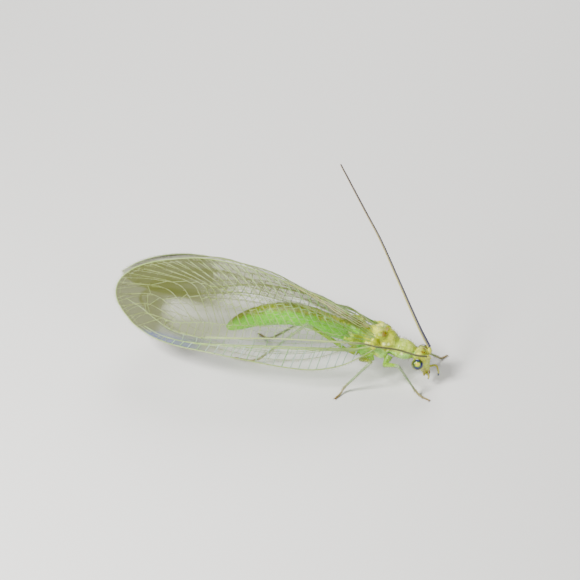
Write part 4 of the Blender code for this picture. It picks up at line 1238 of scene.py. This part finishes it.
class LACEWING_OT_feelers(bpy.types.Operator):
    """Model the two long feelers, each a thread of many short joints"""

    bl_idname = "lacewing.feelers"
    bl_label = "Feelers"

    def execute(self, context):
        material = painted_material("feeler", 0.38)
        for side, name in SIDE_NAMES.items():
            count = FEELER_JOINTS * RINGS_PER_JOINT + 1
            path = evenly(feeler_path(side), count)
            radii = []
            for i in range(count):
                t = i / (count - 1)
                ring = (i % RINGS_PER_JOINT) / RINGS_PER_JOINT
                base, tip = FEELER_RADII[side]
                body = base * (1 - t ** 0.8) + tip * t ** 0.8
                radii.append(body * (0.90 + 0.16 * math.sin(math.pi * ring)))
            radii[-1] *= 0.4
            mesh = mesh_of_curve("feeler_" + name, [(path, radii)], sides=10)
            near = tree_of(path)
            colours = []
            for vertex in mesh.vertices:
                found, i, far = near.find(vertex.co)
                t = i / (count - 1)
                side_on = (vertex.co - found).normalized().dot(FEELER_SHADE[side])
                pale = mix(*RAISED_PALE, ramp(t, 0.1, 1.0))
                shade = mix(*RAISED_SHADE, t)
                if side == RIGHT:
                    pale = mix(*SWEPT_PALE, ramp(t, 0.25, 0.45))
                    shade = mix(SWEPT_SHADE, pale, ramp(t, 0.25, 0.45))
                ring = 0.25 * (1 - math.sin(math.pi * (i % RINGS_PER_JOINT) / RINGS_PER_JOINT))
                colour = mix(pale, shade, 0.97 * ramp(side_on, -0.64, -0.36))
                colours.append(mix(colour, mix(shade, pale, 0.3), ring))
            paint(mesh, "tint", colours)
            threads = [f"antenna_{name}_thread_{i}" for i in (1, 2, 3)]
            finish_piece("feeler_" + name, mesh, material, threads)
        return {"FINISHED"}


class LACEWING_OT_claws(bpy.types.Operator):
    """Model the paired claws and the pad at each foot, and the tips of the jaws"""

    bl_idname = "lacewing.claws"
    bl_label = "Claws"

    def execute(self, context):
        material = painted_material("claw", 0.3)
        splines = []
        for points in LEGS.values():
            ankle, toe = Vector(points[3]), Vector(points[4])
            ahead = Vector((toe.x - ankle.x, toe.y - ankle.y, 0)).normalized()
            aside = Vector((-ahead.y, ahead.x, 0))
            tip = Vector((toe.x, toe.y, CLAW_HEIGHT))
            for turn in (-1, 1):
                path = [tip - ahead * 0.02, tip + ahead * 0.04 + aside * turn * 0.04,
                        tip + ahead * 0.09 + aside * turn * 0.075 + Vector((0, 0, -0.025))]
                path[-1].z = CLAW_TIP_HEIGHT
                splines.append((evenly(path, 6), CLAW_RADII))
            splines.append((evenly([tip - ahead * 0.02, tip + ahead * 0.07], 4), PAD_RADII))
        for side in SIDE_NAMES:
            jaw = [(x, side * y, z) for x, y, z in JAW_HOOK]
            splines.append((evenly(jaw, 6), JAW_HOOK_RADII))
        mesh = mesh_of_curve("claws", splines, sides=8)
        paint(mesh, "tint", [mix(TAN, CLAW_BROWN, 0.5)] * len(mesh.vertices))
        finish_piece("claws", mesh, material)
        return {"FINISHED"}


def hair_piece(name, hairs, material):
    """One mesh of tapered, bent hairs, each with its own small patch of the map at its root's place."""
    splines = []
    for root, lie, bend, length, patch in hairs:
        path = [root - lie * 0.015, root + lie * 0.55 * length, root + lie * 0.95 * length + bend * length]
        splines.append((path, [HAIR_RADIUS, 0.8 * HAIR_RADIUS, 0.25 * HAIR_RADIUS]))
    tints = [mix(PALE_HAIR, DARK_HAIR, 0.5 + 0.5 * noise.noise(root * 40)) for root, *rest in hairs]
    mesh = mesh_of_curve(name, splines, 4, tints, [hair[4] for hair in hairs])
    return finish_piece(name, mesh, material)


class LACEWING_OT_hairs(bpy.types.Operator):
    """Set fine hairs over the skin and along the veins and edges of the wings"""

    bl_idname = "lacewing.hairs"
    bl_label = "Hairs"

    def execute(self, context):
        rng = random.Random(SEED)
        material = painted_material("hair", 0.4)
        body = model_body()
        body.bm.free()
        body.index()
        forms = list(SKIN_HAIRS)
        hairs = []
        for vertex in bpy.data.objects["skin"].data.vertices:
            if rng.random() > SKIN_HAIR_SHARE:
                continue
            place = vertex.co / MM - CENTRE_SHIFT
            centre, radius, form, t, ahead = body.nearest(place)
            if form not in SKIN_HAIRS or rng.random() > SKIN_HAIRS[form][0] / MOST_HAIRS:
                continue
            if form != "tarsus" and place.z < 0.2:
                continue
            share, length, lean = SKIN_HAIRS[form]
            lie = (vertex.normal + ahead * lean * rng.uniform(0.7, 1.3)).normalized()
            lie = (lie + Vector([rng.uniform(-0.2, 0.2) for k in range(3)])).normalized()
            length *= rng.uniform(0.6, 1.2)
            if (place + lie * length).z < 0.01:
                continue
            offset = place - centre
            turned = math.atan2(offset.y, offset.z) / math.tau + 0.5
            row = forms.index(form)
            patch = (0.002 + 0.99 * t, (row + 0.02 + 0.92 * turned) / len(forms))
            hairs.append((place, lie, ahead * 0.12 - vertex.normal * 0.05, length, patch))
        hair_piece("skin_hairs", hairs, material)
        for wing in all_wings():
            out = mirrored(WING_OUT, wing.side)
            hairs = []

            def add(s, c, toward, length):
                place = wing.point(s, c)
                tip = wing.point(s + 0.05 * toward[0], c + 0.05 * toward[1])
                lie = ((tip - place).normalized() + out * rng.uniform(-0.35, 0.45)).normalized()
                patch = (0.01 + 0.97 * s / 12.9, 0.01 + 0.97 * (c + 1.9) / 4.8)
                hairs.append((place, lie, ALONG_WING * 0.1, length * rng.uniform(0.6, 1.15), patch))

            rim = wing.rim(300)
            middle = Vector((wing.start + 0.55 * (wing.end - wing.start), 0.35))
            for one, other in zip(rim, rim[1:]):
                step = Vector(other) - Vector(one)
                if one[0] < wing.start + 0.4 or step.length < 1e-5:
                    continue
                across = Vector((step.y, -step.x)).normalized()
                if across.dot(Vector(one) - middle) < 0:
                    across = -across
                for k in range(max(1, round(step.length / FRINGE_STEP))):
                    s, c = mix(one, other, rng.random())
                    add(s, c, (across.x + 0.5 * rng.uniform(0.2, 1.0), across.y), FRINGE_HAIR)
            for points, first, last, tint in model_veins(wing, 1.0).lines[1:]:
                for one, other in zip(points, points[1:]):
                    step = Vector(other) - Vector(one)
                    if step.length < 1e-5:
                        continue
                    across = Vector((step.y, -step.x)).normalized() * rng.choice((-1, 1))
                    if rng.random() < step.length / VEIN_HAIR_STEP:
                        s, c = mix(one, other, rng.random())
                        add(s, c, (across.x * 0.8 + 0.6, across.y), VEIN_HAIR)
            hair_piece(wing.name + "_hairs", hairs, material)
        return {"FINISHED"}


class LACEWING_OT_stage(bpy.types.Operator):
    """Set the pale floor, the soft lights and the camera at the photographed angle"""

    bl_idname = "lacewing.stage"
    bl_label = "Stage"

    def execute(self, context):
        scene = context.scene
        bm = bmesh.new()
        bmesh.ops.create_grid(bm, x_segments=1, y_segments=1, size=settings().floor_size / 2)
        floor = placed("floor", mesh_of(bm, "floor"))
        material, tree, shader = shaders("floor")
        preset(shader, {"Base Color": FLOOR_COLOUR, "Roughness": 0.7})
        floor.data.materials.append(material)
        world = bpy.data.worlds.new("studio")
        world.use_nodes = True
        preset(world.node_tree.nodes["Background"], {"Color": AIR_COLOUR, "Strength": AIR_LIGHT})
        scene.world = world
        for name, place, size, power in LAMPS:
            lamp = bpy.data.lights.new(name, "AREA")
            lamp.size = size
            lamp.energy = power
            holder = placed(name, lamp)
            holder.location = place
            toward = VIEW_CENTRE * MM - Vector(place)
            holder.rotation_euler = toward.to_track_quat("-Z", "Y").to_euler()
        right, back = facing(VIEW_AZIMUTH, VIEW_ELEVATION)
        lens = bpy.data.cameras.new("camera")
        lens.sensor_width = SENSOR_WIDTH
        lens.lens = lens.sensor_width * settings().camera_distance / (FRAME_WIDTH * MM)
        lens.clip_start = 0.01
        lens.clip_end = 10.0
        camera = placed("camera", lens)
        turn = Matrix((right, back.cross(right), back)).transposed().to_4x4()
        turn.translation = VIEW_CENTRE * MM + back * settings().camera_distance
        camera.matrix_world = turn
        scene.camera = camera
        return {"FINISHED"}


class LacewingSettings(bpy.types.PropertyGroup):
    """Sizes and colours that a user would change."""

    skin_detail: bpy.props.FloatProperty(
        name="Skin detail", description="Distance between the points of the skin", default=0.00003,
        min=0.00001, unit="LENGTH", precision=6)
    vein_size: bpy.props.FloatProperty(
        name="Vein size", description="Thickness of the veins against the measured ones", default=1.15,
        min=0.2, max=3.0, subtype="FACTOR")
    vein_colour: bpy.props.FloatVectorProperty(
        name="Vein colour", description="Colour of the wings' veins", size=3, default=(0.32, 0.42, 0.12),
        subtype="COLOR")
    floor_size: bpy.props.FloatProperty(
        name="Floor size", description="Width of the studio floor", default=0.6, unit="LENGTH")
    camera_distance: bpy.props.FloatProperty(
        name="Camera distance", description="From the insect to the camera", default=0.30, unit="LENGTH")


PIECES = (LACEWING_OT_skin, LACEWING_OT_eyes, LACEWING_OT_wings, LACEWING_OT_feelers,
          LACEWING_OT_claws, LACEWING_OT_hairs, LACEWING_OT_stage)


class LACEWING_PT_panel(bpy.types.Panel):
    """The lacewing's sizes, colours and pieces"""

    bl_label = "Lacewing"
    bl_idname = "LACEWING_PT_panel"
    bl_space_type = "VIEW_3D"
    bl_region_type = "UI"
    bl_category = "Lacewing"

    def draw(self, context):
        chosen = context.scene.lacewing
        for name in chosen.__annotations__:
            self.layout.prop(chosen, name)
        for piece in PIECES:
            self.layout.operator(piece.bl_idname)


CLASSES = (LacewingSettings, *PIECES, LACEWING_PT_panel)


def register():
    for made in CLASSES:
        bpy.utils.register_class(made)
    bpy.types.Scene.lacewing = bpy.props.PointerProperty(type=LacewingSettings)


def unregister():
    del bpy.types.Scene.lacewing
    for made in reversed(CLASSES):
        bpy.utils.unregister_class(made)


def main():
    """Model every piece."""
    register()
    for piece in PIECES:
        group, name = piece.bl_idname.split(".")
        getattr(getattr(bpy.ops, group), name)()


if __name__ == "__main__":
    main()
